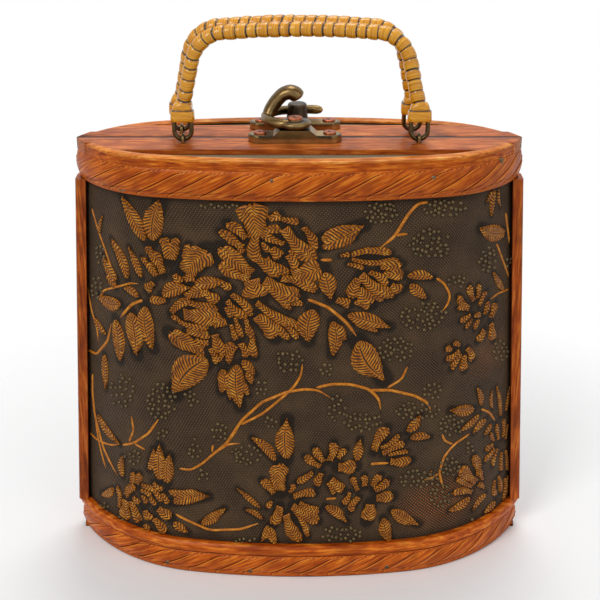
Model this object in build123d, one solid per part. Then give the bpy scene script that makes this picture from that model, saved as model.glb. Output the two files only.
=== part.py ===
# Oval wooden box handbag, carved rims and cane wrapped handles.
#
# Two half-oval shells meet at the plane Y = 0 and are hinged under the bottom seam. A horn-shaped
# swing latch holds them shut at the top, and each shell carries its own wrapped handle on two
# links. Millimetres, +Z up, +X to the bag's right seen from the front, the front half at Y < 0.
# The origin is on the floor, at the centre of the bag's outline.

import os
from math import asin, cos, degrees, radians, sin, tan

from build123d import *

# Body heights
body_height = 213.0
top_rim_height = 19.0
bottom_rim_height = 18.0

# Outline of the bag at its top and at its bottom: a wide front arc between two tighter end arcs
top_half_depth = 37.0
top_front_radius = 340.0
top_front_half_width = 64.0
top_end_radius = 55.0
bottom_half_depth = 48.0
bottom_front_radius = 320.0
bottom_front_half_width = 54.0
bottom_end_radius = 85.0

# Board and lining
seam_gap = 0.3
rim_thickness = 3.0
wall_thickness = 2.4
lining_thickness = 0.6
wall_foot = 1.5
board_thickness = 3.0
board_recess = 2.5

# Rims
rim_bulge = 1.2
strip_height = 1.8
band_height = 3.6
edging_height = 1.6
edging_width = 5.4
edging_side_height = 0.9
edging_setback = 0.3
bead_height = 5.8
bead_proud = 1.2
bead_setback = 0.4
carving_depth = 0.8
carving_width = 0.7
carving_margin = 0.6
top_leaf_pitch = 14.8
bottom_leaf_pitch = 14.0
leaf_slope = 29.0
leaf_stem_share = 0.28
leaf_shoulder = 0.78
leaf_crest = 0.97
leaf_tip = 0.86
leaf_curl_share = 0.42
carving_clearance = 2.0
cutter_reach = 7.0
moulding_overrun = 6.0

# Seam bars, along the top and the bottom of each half
bar_width = 20.0
bar_thickness = 5.5
bar_nose = 9.0
bottom_bar_thickness = 4.6
bottom_board_lift = 1.6
space_reach = 300.0

# End posts, which cover the wall's ends at the sides
post_width = 5.0
post_depth = 5.0
post_proud = 1.4
post_edge_radius = 1.6

# Bottom hinges
hinge_pin_height = 2.2
hinge_pin_radius = 0.8
knuckle_radius = 1.7
knuckle_length = 6.5
knuckle_gap = 0.2
hinge_leaf_width = 9.0
hinge_leaf_thickness = 1.0
hinge_spacing = 120.0
hinge_running_gap = 0.05
hinge_root_reach = 1.6
hinge_knuckle_clearance = 0.25
hinge_reach = 12.0
hinge_relief_angle = 33.0
hinge_screw_radius = 1.0
hinge_screw_length = 4.0
hinge_screw_head_radius = 1.9
hinge_screw_head_height = 0.7
hinge_screw_spacing = 12.0
hinge_screw_setback = 5.6

# Latch: base and pivot on the front half, catch on the back half
latch_offset = -2.0
latch_length = 43.0
latch_width = 10.4
latch_thickness = 3.5
latch_edge_radius = 0.9
latch_seam_gap = 0.4
latch_rise = 2.5
latch_rise_top = 14.0
latch_rise_foot = 22.0
latch_screw_spacing = 32.0
latch_screw_radius = 1.2
latch_screw_length = 8.0
latch_screw_head_radius = 3.0
latch_screw_head_height = 0.9
catch_length = 43.0
catch_width = 9.0
catch_distance = 15.4
catch_post_foot_radius = 5.2
catch_post_top_radius = 4.4
catch_post_height = 8.6
catch_post_edge = 0.9
catch_post_offset = 1.0
head_edge_share = 0.45
pivot_radius = 1.6
pivot_head_radius = 3.4
pivot_head_height = 1.0
pivot_running_gap = 0.05
arm_hub_radius = 7.3
arm_hub_thickness = 3.8
arm_bar_radius = 2.0
arm_lift = 0.2
arm_edge_radius = 1.3
arm_post_clearance = 0.9
arm_screw_clearance = 0.35
horn_depth = 7.0
horn_setback = 9.0
horn_sink = 3.6
horn_foot_left = -15.9
horn_foot_right = -9.6
horn_height = 15.2
horn_tip = 2.9

# Links and the staples that hold them
link_wire_radius = 1.05
link_end_radius = 3.9
link_straight = 3.0
link_floor_gap = 0.3
staple_wire_radius = 0.8
staple_play = 0.15
staple_leg_depth = 4.0
staple_distance = 8.0

# Handles
handle_span = 108.0
handle_crown_rise = 50.7
handle_corner_rise = 47.2
handle_corner_half_width = 46.5
handle_corner_radius = 16.0
handle_crown_radius = 400.0
handle_lean = 4.8
front_handle_shift = 0.8
back_handle_shift = -1.2
back_handle_extra_rise = 1.5
handle_radius = 3.5
handle_core_radius = 2.5
wrap_pitch = 4.9
wrap_groove_width = 0.7
wrap_groove_depth = 0.7
wrap_slant = 13.0
wrap_start = 8.0
wrap_sides = 10
eye_radius = 3.0
eye_width = 2.2
eye_play = 0.35
eye_neck_width = 4.2
collar_half_width = 5.85
collar_half_depth = 3.5
collar_wall = 0.65
collar_drop = 2.6
collar_top = 4.6
collar_cavity_top = 2.7

# Worked out from the sizes above
rim_top_base = body_height - top_rim_height
edging_base = body_height - edging_height
band_base = edging_base - band_height
bead_base = bottom_rim_height - bead_height
wall_inset = rim_thickness
lining_inset = wall_inset + wall_thickness
bar_top = body_height
half_gap = seam_gap / 2
link_pivot_height = bar_top + link_floor_gap + link_wire_radius
link_height = 2 * link_end_radius + link_straight


class Outline:
    """Half-oval plan of the front half, made of a front arc and two end arcs."""

    def __init__(self, half_depth, front_radius, front_half_width, end_radius):
        self.half_depth = half_depth
        self.front_radius = front_radius
        self.end_radius = end_radius
        self.turn = asin(front_half_width / front_radius)
        self.front_centre_y = front_radius - half_depth
        step = front_radius - end_radius
        self.end_centre_x = step * sin(self.turn)
        self.end_centre_y = self.front_centre_y - step * cos(self.turn)

    def end_angle(self, inset, y):
        """Angle, in degrees, at which the right end arc reaches the line Y = y."""
        return degrees(asin((y - self.end_centre_y) / (self.end_radius - inset)))

    def half_width(self, inset=0.0):
        """Half width of the outline where it meets the seam."""
        return self.end_centre_x + (self.end_radius - inset) * cos(radians(self.end_angle(inset, 0)))

    def arcs(self, inset, end_y):
        """The three arcs, from the left end to the right one, both cut at Y = end_y."""
        front_angle = degrees(self.turn)
        end_angle = self.end_angle(inset, end_y)
        end_start = front_angle - 90
        end_sweep = end_angle - end_start
        end_radius = self.end_radius - inset
        left = CenterArc((-self.end_centre_x, self.end_centre_y), end_radius, 180 - end_angle, end_sweep)
        front_radius = self.front_radius - inset
        front = CenterArc((0, self.front_centre_y), front_radius, -90 - front_angle, 2 * front_angle)
        right = CenterArc((self.end_centre_x, self.end_centre_y), end_radius, end_start, end_sweep)
        return [left, front, right]

    def face(self, inset, z=0.0, end_y=-half_gap):
        """The closed half-oval at a height, shut along the seam."""
        arcs = self.arcs(inset, end_y)
        seam = Line(arcs[2] @ 1, arcs[0] @ 0)
        return Pos(0, 0, z) * make_face(arcs + [seam])

    def path(self, inset, z, end_y):
        return Pos(0, 0, z) * Wire(self.arcs(inset, end_y))

    def length(self, inset):
        return Wire(self.arcs(inset, -half_gap)).length


top_outline = Outline(top_half_depth, top_front_radius, top_front_half_width, top_end_radius)
bottom_outline = Outline(bottom_half_depth, bottom_front_radius, bottom_front_half_width, bottom_end_radius)


def slab(x0, x1, y0, y1, z0, z1):
    """Box between two corners."""
    return Pos((x0 + x1) / 2, (y0 + y1) / 2, (z0 + z1) / 2) * Box(x1 - x0, y1 - y0, z1 - z0)


def front_side(y):
    """All of the space in front of the plane Y = y."""
    return slab(-space_reach, space_reach, -space_reach, y, -space_reach, space_reach)


def body_solid(inset, z0, z1):
    """The half body, at an inset from its outline: upright behind the rims, tapered between them."""
    sections = [
        bottom_outline.face(inset, z0),
        bottom_outline.face(inset, bottom_rim_height),
        top_outline.face(inset, rim_top_base),
        top_outline.face(inset, z1),
    ]
    return loft(sections, ruled=True)


def moulding(outline, profile):
    """Sweep a section along the outline; the section's points are (outward, height)."""
    run = outline.path(wall_inset, 0, moulding_overrun)
    start = run @ 0
    along = run % 0
    outward = Vector(along.Y, -along.X, 0)
    plane = Plane(origin=start, x_dir=outward, z_dir=along)
    lift = 1 if plane.y_dir.Z > 0 else -1
    section = plane * make_face(profile(lift))
    strip = sweep(section, path=run)
    return strip & front_side(-half_gap)


def flat_section(u0, u1, z0, z1):
    def profile(lift):
        points = [(u0, lift * z0), (u1, lift * z0), (u1, lift * z1), (u0, lift * z1)]
        return Polyline(points, close=True)

    return profile


def leaf_band_section(z0, z1, z_band0, z_band1):
    """A rim strip, flat at its foot, with a rounded band standing out above it."""

    def profile(lift):
        flat = [(0, z1), (0, z0), (rim_thickness, z0), (rim_thickness, z_band0)]
        lines = Polyline([(u, lift * z) for u, z in flat])
        crest = (rim_thickness + rim_bulge, lift * (z_band0 + z_band1) / 2)
        band = ThreePointArc((rim_thickness, lift * z_band0), crest, (rim_thickness, lift * z_band1))
        return lines + band + Line((rim_thickness, lift * z_band1), (0, lift * z1))

    return profile


def carving_section(z0, z1):
    """The skin of a leaf band, from the carving's depth to well outside the band."""

    def profile(lift):
        floor = rim_thickness - carving_depth
        top = rim_thickness + carving_clearance
        middle = lift * (z0 + z1) / 2
        inner = ThreePointArc((floor, lift * z0), (floor + rim_bulge, middle), (floor, lift * z1))
        outer = ThreePointArc((top, lift * z0), (top + rim_bulge, middle), (top, lift * z1))
        ends = [Line((floor, lift * z), (top, lift * z)) for z in (z0, z1)]
        return inner + outer + ends[0] + ends[1]

    return profile


def rounded_section(u0, u1, z0, z1, proud):
    """A strip whose outer face is one arc."""

    def profile(lift):
        back = Polyline((u1, lift * z1), (u0, lift * z1), (u0, lift * z0), (u1, lift * z0))
        face = ThreePointArc((u1, lift * z0), (u1 + proud, lift * (z0 + z1) / 2), (u1, lift * z1))
        return back + face

    return profile


def edging_section():
    """The narrow cane strip that finishes the top edge of the wall and its rim."""
    u1 = rim_thickness - edging_setback
    u0 = u1 - edging_width
    side_top = edging_base + edging_side_height

    def profile(lift):
        back = Polyline((u1, lift * side_top), (u1, lift * edging_base),
                        (u0, lift * edging_base), (u0, lift * side_top))
        crown_top = ((u0 + u1) / 2, lift * body_height)
        crown = ThreePointArc((u0, lift * side_top), crown_top, (u1, lift * side_top))
        return back + crown

    return profile


def carving_grooves(outline, z0, z1, pitch):
    """Slanted cuts between the carved leaves, each curling over at the leaf's tip."""
    rise = z1 - z0
    run = rise / tan(radians(leaf_slope))
    count = round(outline.length(0) / pitch)
    step = outline.length(0) / count
    guide = outline.path(0, 0, -half_gap)
    cuts = []
    for index in range(-2, count + 2):
        middle = (index + 0.5) * step + run / 2
        place = min(max(middle / outline.length(0), 0.02), 0.98)
        point = guide @ place
        along = guide % place
        slide = middle - place * outline.length(0)
        outward = Vector(along.Y, -along.X, 0)
        plane = Plane(origin=point + along * slide + Vector(0, 0, z0), x_dir=along, z_dir=outward)
        stem_top = (run * leaf_stem_share, rise * leaf_shoulder)
        stem = Line((-run / 2, 0), stem_top)
        crest = (stem_top[0] + step * leaf_curl_share, rise * leaf_crest)
        tip = ThreePointArc(stem_top, crest, (stem_top[0] + step, rise * leaf_tip))
        ribbon = trace(stem + tip, carving_width)
        cuts.append(extrude(plane * ribbon, amount=cutter_reach, both=True))
    return cuts


def carved_rim(outline, z0, z1, z_band0, pitch):
    """A bent rim strip with a row of slanted leaves carved in its rounded face."""
    z_band1 = z1 - carving_margin
    rim = moulding(outline, leaf_band_section(z0, z1, z_band0, z_band1))
    skin = moulding(outline, carving_section(z_band0, z_band1))
    cuts = [skin & cut for cut in carving_grooves(outline, z_band0, z_band1, pitch)]
    return rim - [solid for cut in cuts if cut is not None for solid in cut.solids()]


def trim(piece, *others):
    """Cut other pieces out of one, so that they meet face to face."""
    for other in others:
        piece = piece - other
    return piece


def hinge_relief():
    """Space under the hinge line that the other half swings into."""
    drop = hinge_reach * tan(radians(hinge_relief_angle))
    points = [(0, 0), (-hinge_reach, -drop), (hinge_reach / 2, -drop)]
    wedge = extrude(Plane.YZ * make_face(Polyline(points, close=True)), amount=space_reach, both=True)
    return Pos(0, 0, hinge_pin_height) * wedge


def end_posts():
    """Upright strips that cover the wall's ends, left and right."""
    posts = []
    for side in (-1, 1):
        sections = []
        for outline, z in ((bottom_outline, bottom_rim_height), (top_outline, rim_top_base)):
            outer = outline.half_width() + post_proud
            centre = side * (outer - post_width / 2)
            sections.append(Pos(centre, -half_gap - post_depth / 2, z) * Rectangle(post_width, post_depth))
        post = loft(sections, ruled=True)
        front_edges = post.edges().filter_by(lambda edge: abs((edge % 0.5).Z) > 0.9).sort_by(Axis.Y)[:2]
        outer_edge = max(front_edges, key=lambda edge: side * edge.center().X)
        posts.append(fillet(outer_edge, post_edge_radius))
    return posts


def seam_strip(outline, inset, width, z0, z1):
    """The part of the half-oval, at an inset, that lies within a width of the seam."""
    plan = extrude(outline.face(inset, z0), amount=z1 - z0)
    return plan & slab(-space_reach, space_reach, -width, -half_gap, z0, z1)


def panel(outline, inset, width, z0, z1):
    """A flat board between the seam bar and the wall."""
    return extrude(outline.face(inset, z0), amount=z1 - z0) & front_side(-width)


def half_shell():
    """Every wooden piece of the front half, by name."""
    relief = hinge_relief()
    posts = end_posts()
    bar_base = bar_top - bar_thickness
    board_top = body_height - board_recess
    bottom_bar_base = hinge_pin_height + knuckle_radius
    bottom_board_base = bottom_bar_base + bottom_board_lift

    nose = seam_strip(top_outline, 0, bar_nose, bar_base, bar_top)
    top_bar = seam_strip(top_outline, wall_inset, bar_width, bar_base, bar_top) + nose
    bottom_bar = seam_strip(bottom_outline, lining_inset, bar_width, bottom_bar_base,
                            bottom_bar_base + bottom_bar_thickness)
    top_board = panel(top_outline, lining_inset, bar_width, board_top - board_thickness, board_top)
    bottom_board = panel(bottom_outline, lining_inset, bar_width, bottom_board_base,
                         bottom_board_base + board_thickness)

    outer = body_solid(wall_inset, wall_foot, edging_base)
    inner = body_solid(lining_inset, wall_foot - 1, edging_base + 1)
    lined = body_solid(lining_inset + lining_thickness, wall_foot - 1, edging_base + 1)
    wall = trim(outer, inner, top_bar, *posts)
    room_base = bottom_board_base + board_thickness
    room_top = board_top - board_thickness
    room = slab(-space_reach, space_reach, -space_reach, space_reach, room_base, room_top)
    lining = trim(inner & room, lined, top_bar, bottom_bar, *posts)

    top_rim = carved_rim(top_outline, rim_top_base, band_base, rim_top_base + strip_height,
                         top_leaf_pitch)
    top_band = moulding(top_outline, flat_section(0, rim_thickness - edging_setback, band_base, edging_base))
    edging = moulding(top_outline, edging_section())
    edging = trim(edging, nose)
    top_bar = trim(top_bar, edging)
    bottom_rim = carved_rim(bottom_outline, 0, bead_base, strip_height, bottom_leaf_pitch)
    bead_section = rounded_section(0, rim_thickness - bead_setback, bead_base, bottom_rim_height,
                                   bead_proud + bead_setback)
    bead = moulding(bottom_outline, bead_section)
    shell = {
        "wall": wall - relief,
        "lining": lining,
        "top_rim": trim(top_rim, top_bar),
        "top_band": trim(top_band, top_bar),
        "top_edging": edging,
        "top_board": top_board,
        "top_bar": top_bar,
        "bottom_rim": bottom_rim - relief,
        "bottom_bead": bead,
        "bottom_board": bottom_board,
        "bottom_bar": bottom_bar,
        "left_post": posts[0],
        "right_post": posts[1],
    }
    return shell


def screw(head_radius, head_height, shank_radius, length):
    """Round head standing on Z = 0, shank below."""
    head = Cylinder(head_radius, head_height, align=(Align.CENTER, Align.CENTER, Align.MIN))
    head = fillet(head.edges().group_by(Axis.Z)[-1], head_height * head_edge_share)
    shank = Cylinder(shank_radius, length, align=(Align.CENTER, Align.CENTER, Align.MAX))
    return head + shank


def latch_base(length, width, rise):
    """Cast base with rounded ears, standing on Z = 0; a pivot base has a raised middle."""
    base = extrude(SlotOverall(length, width), amount=latch_thickness)
    base = fillet(base.edges().group_by(Axis.Z)[-1], latch_edge_radius)
    if rise:
        low = latch_rise_foot / 2
        high = latch_rise_top / 2
        top = latch_thickness + latch_rise
        points = [(-low, latch_thickness - 1.0), (low, latch_thickness - 1.0), (high, top), (-high, top)]
        block = extrude(Plane.XZ * make_face(Polyline(points, close=True)), amount=width / 2, both=True)
        base = base + (block & extrude(SlotOverall(length, width), amount=top))
    return base


def latch_arm():
    """Swing arm: hub, bar that curves round behind the catch, and the horn that the finger pulls.

    Its origin is on the pivot's axis, at the underside of the hub.
    """
    hub = Cylinder(arm_hub_radius, arm_hub_thickness, align=(Align.CENTER, Align.CENTER, Align.MIN))
    hub = fillet(hub.edges(), arm_edge_radius)
    back = catch_distance + latch_width / 2 + latch_seam_gap
    clear = catch_post_foot_radius + arm_bar_radius + arm_post_clearance
    middle = arm_hub_thickness / 2
    low = latch_screw_head_height + arm_screw_clearance + arm_bar_radius - latch_rise - arm_lift
    drop = middle - low
    bar_points = [
        (-2.5, -1.5, middle),
        (-9.0, 0.5, middle),
        (-13.8, 6.5, middle - drop * 0.15),
        (-13.2, 15.0, middle - drop * 0.45),
        (-7.5, back + clear - 3.6, middle - drop * 0.8),
        (0.8, back + clear, low),
        (9.0, back + clear - 0.2, low),
        (13.0, back + clear - 1.6, low),
    ]
    run = Spline([Vector(*point) for point in bar_points])
    section = Plane(origin=run @ 0, z_dir=run % 0) * Circle(arm_bar_radius)
    bar = sweep(section, path=run)
    tail = Pos(*(run @ 1)) * Sphere(arm_bar_radius)
    foot = arm_hub_thickness - horn_sink
    shoulder = (horn_foot_left + 2.0, foot + 4.0)
    lip = (horn_tip - 0.3, foot + 8.6)
    throat = (horn_tip - 3.3, foot + 8.0)
    outline = [
        Line((horn_foot_left, foot), shoulder),
        Spline(shoulder, (-10.2, foot + 8.6), (-7.6, foot + 12.4), (-1.6, foot + horn_height),
               (horn_tip, foot + 12.0), lip),
        Line(lip, throat),
        Spline(throat, (-3.2, foot + 8.6), (-5.0, foot + 8.0), (-6.4, foot + 5.6), (-8.4, foot + 2.6),
               (horn_foot_right, foot)),
        Line((horn_foot_right, foot), (horn_foot_left, foot)),
    ]
    horn = extrude(Plane.XZ * make_face(outline), amount=horn_depth / 2, both=True)
    horn = Pos(0, horn_setback + horn_depth / 2, 0) * horn
    arm = hub + bar + tail + horn
    bore = Cylinder(pivot_radius + pivot_running_gap, 2 * arm_hub_thickness + 2)
    return arm - bore


def latch_pieces(front, back):
    """Latch and catch; the bars they stand on are bored for their screws."""
    base_y = -latch_seam_gap - latch_width / 2
    base_place = Pos(latch_offset, base_y, bar_top)
    catch_place = Pos(latch_offset, catch_distance, bar_top)
    plate = base_place * latch_base(latch_length, latch_width, True)
    catch = catch_place * latch_base(catch_length, catch_width, False)
    screws = {}
    for name, place in (("latch", base_place), ("catch", catch_place)):
        ends = [
            place * Pos(side * latch_screw_spacing / 2, 0, latch_thickness)
            * screw(latch_screw_head_radius, latch_screw_head_height, latch_screw_radius, latch_screw_length)
            for side in (-1, 1)
        ]
        screws[name] = ends
    plate = trim(plate, *screws["latch"])
    catch = trim(catch, *screws["catch"])
    front["top_bar"] = trim(front["top_bar"], *screws["latch"])
    back["top_bar"] = trim(back["top_bar"], *screws["catch"])

    post = Cone(catch_post_foot_radius, catch_post_top_radius, catch_post_height,
                align=(Align.CENTER, Align.CENTER, Align.MIN))
    post = fillet(post.edges().group_by(Axis.Z)[-1], catch_post_edge)
    post = catch_place * Pos(catch_post_offset, 0, latch_thickness) * post

    hub_base = latch_thickness + latch_rise + arm_lift
    shank_top = hub_base + arm_hub_thickness + arm_lift
    shank = Cylinder(pivot_radius, shank_top, align=(Align.CENTER, Align.CENTER, Align.MIN))
    head = Cylinder(pivot_head_radius, pivot_head_height, align=(Align.CENTER, Align.CENTER, Align.MIN))
    head = fillet(head.edges().group_by(Axis.Z)[-1], pivot_head_height * head_edge_share)
    rivet = base_place * (shank + Pos(0, 0, shank_top) * head)
    plate = trim(plate, rivet)
    arm = base_place * Pos(0, 0, hub_base) * latch_arm()
    return {
        "latch_base": plate,
        "latch_screws": Compound(children=screws["latch"]),
        "latch_rivet": rivet,
        "latch_arm": arm,
        "catch_base": catch,
        "catch_post": post,
        "catch_screws": Compound(children=screws["catch"]),
    }


def link():
    """Closed oval wire link, standing on its pivot: the centre of its lowest wire."""
    radius = link_end_radius
    straight = link_straight
    path = Wire([
        Line((radius, radius), (radius, radius + straight)),
        CenterArc((0, radius + straight), radius, 0, 180),
        Line((-radius, radius + straight), (-radius, radius)),
        CenterArc((0, radius), radius, 180, 180),
    ])
    path = Plane.XZ * path
    start = path @ 0
    section = Plane(origin=start, z_dir=path % 0) * Circle(link_wire_radius)
    return sweep(section, path=path)


def staple():
    """Wire staple over a link's lowest wire, its legs driven into the bar."""
    radius = link_wire_radius + staple_play + staple_wire_radius
    depth = link_pivot_height - bar_top + staple_leg_depth
    path = Wire([
        Line((-radius, -depth), (-radius, 0)),
        CenterArc((0, 0), radius, 180, -180),
        Line((radius, 0), (radius, -depth)),
    ])
    path = Plane.YZ * path
    section = Plane(origin=path @ 0, z_dir=path % 0) * Circle(staple_wire_radius)
    return sweep(section, path=path)


def handle_path(extra_rise):
    """Centre line of a handle, standing over its two link tops at Z = link height."""
    half = handle_span / 2
    foot = link_height + collar_cavity_top
    corner = (handle_corner_half_width, handle_corner_rise + extra_rise)
    crown = (0, handle_crown_rise + extra_rise)
    points = [(-half, foot), (-corner[0], corner[1]), crown, corner, (half, foot)]
    radii = [handle_corner_radius, handle_crown_radius, handle_corner_radius]
    return Plane.XZ * FilletPolyline([Vector(*point) for point in points], radius=radii)


def tube(path, radius, sides):
    plane = Plane(origin=path @ 0, z_dir=path % 0, x_dir=(0, 1, 0))
    return sweep(plane * RegularPolygon(radius, sides, rotation=180 / sides), path=path)


def collar(z0, z1, half_width, half_depth):
    section = SlotOverall(2 * half_width, 2 * half_depth)
    return Pos(0, 0, z0) * extrude(section, amount=z1 - z0)


def handle(extra_rise):
    """Handle core with an eye at each end, and the cane strip wound round it."""
    path = handle_path(extra_rise)
    core = tube(path, handle_core_radius, wrap_sides)
    wrap = tube(path, handle_radius, wrap_sides)
    bore = Cylinder(link_wire_radius + eye_play, 20, rotation=(0, 90, 0))
    ceiling = link_height + collar_cavity_top
    for side in (-1, 1):
        place = Pos(side * handle_span / 2, 0, 0)
        eye = Cylinder(eye_radius, eye_width, rotation=(0, 90, 0))
        neck = slab(-eye_width / 2, eye_width / 2, -eye_neck_width / 2, eye_neck_width / 2, 0,
                    collar_top - 1)
        core = core + place * Pos(0, 0, link_height) * (eye + neck - bore)
        sleeve = collar(link_height - collar_drop, link_height + collar_top, collar_half_width,
                        collar_half_depth)
        cavity = collar(link_height - collar_drop - 1, ceiling, collar_half_width - collar_wall,
                        collar_half_depth - collar_wall)
        wrap = wrap + place * sleeve - place * cavity
    wrap = wrap - core
    length = path.length
    count = int((length - 2 * wrap_start) / wrap_pitch)
    step = (length - 2 * wrap_start) / count
    washer = Cylinder(handle_radius + 2, wrap_groove_width) - Cylinder(
        handle_radius - wrap_groove_depth, wrap_groove_width + 1)
    grooves = []
    for index in range(count + 1):
        place = (wrap_start + index * step) / length
        along = path % place
        tilted = along.rotate(Axis.Y, wrap_slant)
        grooves.append(Plane(origin=path @ place, z_dir=tilted) * washer)
    return core, wrap - grooves


def stand_handle(piece, side, shift):
    """Lean a handle piece inward and set it over its staples; side is -1 in front, +1 behind."""
    lean = Rot(side * handle_lean, 0, 0)
    return Pos(shift, side * staple_distance, link_pivot_height) * lean * piece


def hinge(x):
    """Butt hinge under the bottom seam: a leaf on each half and the pin between them."""
    length = 3 * knuckle_length + 2 * knuckle_gap
    leaf_top = hinge_pin_height + knuckle_radius
    pieces = {}
    pin = Pos(x, 0, hinge_pin_height) * Cylinder(hinge_pin_radius, length, rotation=(0, 90, 0))
    clear_radius = knuckle_radius + hinge_knuckle_clearance
    clear = Cylinder(clear_radius, knuckle_length + 2 * knuckle_gap, rotation=(0, 90, 0))
    step = knuckle_length + knuckle_gap
    for half, side, turns in (("front", -1, (0,)), ("back", 1, (-1, 1))):
        y_near = side * half_gap
        y_far = side * (half_gap + hinge_leaf_width)
        leaf = slab(x - length / 2, x + length / 2, min(y_near, y_far), max(y_near, y_far),
                    leaf_top - hinge_leaf_thickness, leaf_top)
        for turn in {-1, 0, 1} - set(turns):
            leaf = leaf - Pos(x + turn * step, 0, hinge_pin_height) * clear
        for turn in turns:
            centre = Pos(x + turn * step, 0, hinge_pin_height)
            barrel = Cylinder(knuckle_radius, knuckle_length, rotation=(0, 90, 0))
            root = slab(-knuckle_length / 2, knuckle_length / 2, min(0, side * hinge_root_reach),
                        max(0, side * hinge_root_reach), knuckle_radius - hinge_leaf_thickness,
                        knuckle_radius)
            leaf = leaf + centre * (barrel + root)
        hole = hinge_pin_radius + (hinge_running_gap if half == "front" else 0)
        leaf = leaf - Pos(x, 0, hinge_pin_height) * Cylinder(hole, length + 2, rotation=(0, 90, 0))
        pieces[half] = leaf
    mortise = Pos(x, 0, hinge_pin_height) * Cylinder(clear_radius, length + 2 * knuckle_gap,
                                                     rotation=(0, 90, 0))
    return pieces, pin, mortise


front = half_shell()
back = {name: Rot(0, 0, 180) * piece for name, piece in front.items()}
back["left_post"], back["right_post"] = back["right_post"], back["left_post"]
nodes = {}

latch = latch_pieces(front, back)
nodes.update(latch)

for half, shell, side, shift, rise in (
    ("front", front, -1, front_handle_shift, 0.0),
    ("back", back, 1, back_handle_shift, back_handle_extra_rise),
):
    core, wrap = handle(rise)
    nodes[half + "_handle_core"] = stand_handle(core, side, shift)
    nodes[half + "_handle_wrap"] = stand_handle(wrap, side, shift)
    for end, end_side in (("left", -1), ("right", 1)):
        place = Pos(end_side * handle_span / 2, 0, 0)
        nodes[f"{half}_{end}_link"] = stand_handle(place * link(), side, shift)
        pin_place = Pos(shift + end_side * handle_span / 2, side * staple_distance, link_pivot_height)
        loop = pin_place * staple()
        nodes[f"{half}_{end}_staple"] = loop
        shell["top_bar"] = shell["top_bar"] - loop

hinge_screws = {"front": [], "back": []}
for end, x in (("left", -hinge_spacing / 2), ("right", hinge_spacing / 2)):
    leaves, pin, mortise = hinge(x)
    nodes[f"{end}_hinge_pin"] = pin
    for half, side, shell in (("front", -1, front), ("back", 1, back)):
        leaf = leaves[half]
        for turn in (-1, 1):
            y = side * (half_gap + hinge_screw_setback)
            place = Pos(x + turn * hinge_screw_spacing / 2, y, hinge_pin_height + knuckle_radius
                        - hinge_leaf_thickness)
            fixing = place * Rot(180, 0, 0) * screw(
                hinge_screw_head_radius, hinge_screw_head_height, hinge_screw_radius, hinge_screw_length)
            leaf = leaf - fixing
            shell["bottom_bar"] = shell["bottom_bar"] - fixing
            hinge_screws[half].append(fixing)
        shell["bottom_bar"] = shell["bottom_bar"] - mortise
        nodes[f"{end}_hinge_{half}_leaf"] = leaf
for half in ("front", "back"):
    nodes[half + "_hinge_screws"] = Compound(children=hinge_screws[half])

for half, shell in (("front", front), ("back", back)):
    for name, piece in shell.items():
        nodes[f"{half}_{name}"] = piece

os.makedirs("parts", exist_ok=True)
for name, piece in nodes.items():
    export_step(piece, f"parts/{name}.step")
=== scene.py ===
# The looks of an oval wooden box handbag: carved rims, embossed floral walls, cane-wrapped handles
# and an antiqued swing latch. Lengths are in millimetres until a mesh is made, then in metres.

import math
import random

import bmesh
import bpy
import numpy as np
from mathutils import Matrix, Vector


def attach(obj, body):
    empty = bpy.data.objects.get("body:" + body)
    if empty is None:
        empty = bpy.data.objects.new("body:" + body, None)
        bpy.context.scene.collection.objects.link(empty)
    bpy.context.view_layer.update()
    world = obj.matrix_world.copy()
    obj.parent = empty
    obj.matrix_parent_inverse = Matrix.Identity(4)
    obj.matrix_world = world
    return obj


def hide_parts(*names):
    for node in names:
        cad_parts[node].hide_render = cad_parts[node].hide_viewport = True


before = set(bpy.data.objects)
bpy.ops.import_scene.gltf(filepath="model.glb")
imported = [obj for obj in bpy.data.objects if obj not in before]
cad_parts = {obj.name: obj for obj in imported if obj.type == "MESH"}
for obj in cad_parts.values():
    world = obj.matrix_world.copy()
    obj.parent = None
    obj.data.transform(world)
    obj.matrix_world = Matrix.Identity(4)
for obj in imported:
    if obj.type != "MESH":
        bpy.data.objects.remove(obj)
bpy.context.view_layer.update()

MM = 0.001

# The bag's form, as it was built
BOTTOM_RIM_HEIGHT = 18.0
TOP_RIM_BASE = 194.0
TOP_BAND_BASE = 207.8
BEAD_BASE = 12.2
RIM_THICKNESS = 3.0
HALF_GAP = 0.15
HINGE_PIN_HEIGHT = 2.2
HINGE_RELIEF_ANGLE = 33.0
TOP_CARVING = (195.4, 207.4)
BOTTOM_CARVING = (2.0, 11.8)
CARVING_BULGE = 1.35
PIVOT_HEIGHT = 214.35
STAPLE_DISTANCE = 8.0
HANDLE_LEAN = 4.8
HANDLE_HALF_SPAN = 54.0
LINK_HEIGHT = 10.8
HANDLE_SHIFT = {"front": 0.8, "back": -1.2}
HANDLE_EXTRA_RISE = {"front": 0.0, "back": 1.5}

# Camera, fitted to the photograph
CAMERA_DISTANCE = 550.0
CAMERA_HEIGHT = 374.3
CAMERA_PITCH = math.radians(23.94)
CAMERA_FOCUS = 1222.6
CAMERA_CENTRE = (299.3, 300.0)
PHOTO_WIDTH = 600.0
SENSOR_WIDTH = 36.0


def linear(red, green, blue):
    """A colour given as 8-bit values, as the renderer wants it."""
    channels = [value / 255.0 for value in (red, green, blue)]
    values = [c / 12.92 if c <= 0.04045 else ((c + 0.055) / 1.055) ** 2.4 for c in channels]
    return (values[0], values[1], values[2], 1.0)


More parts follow.
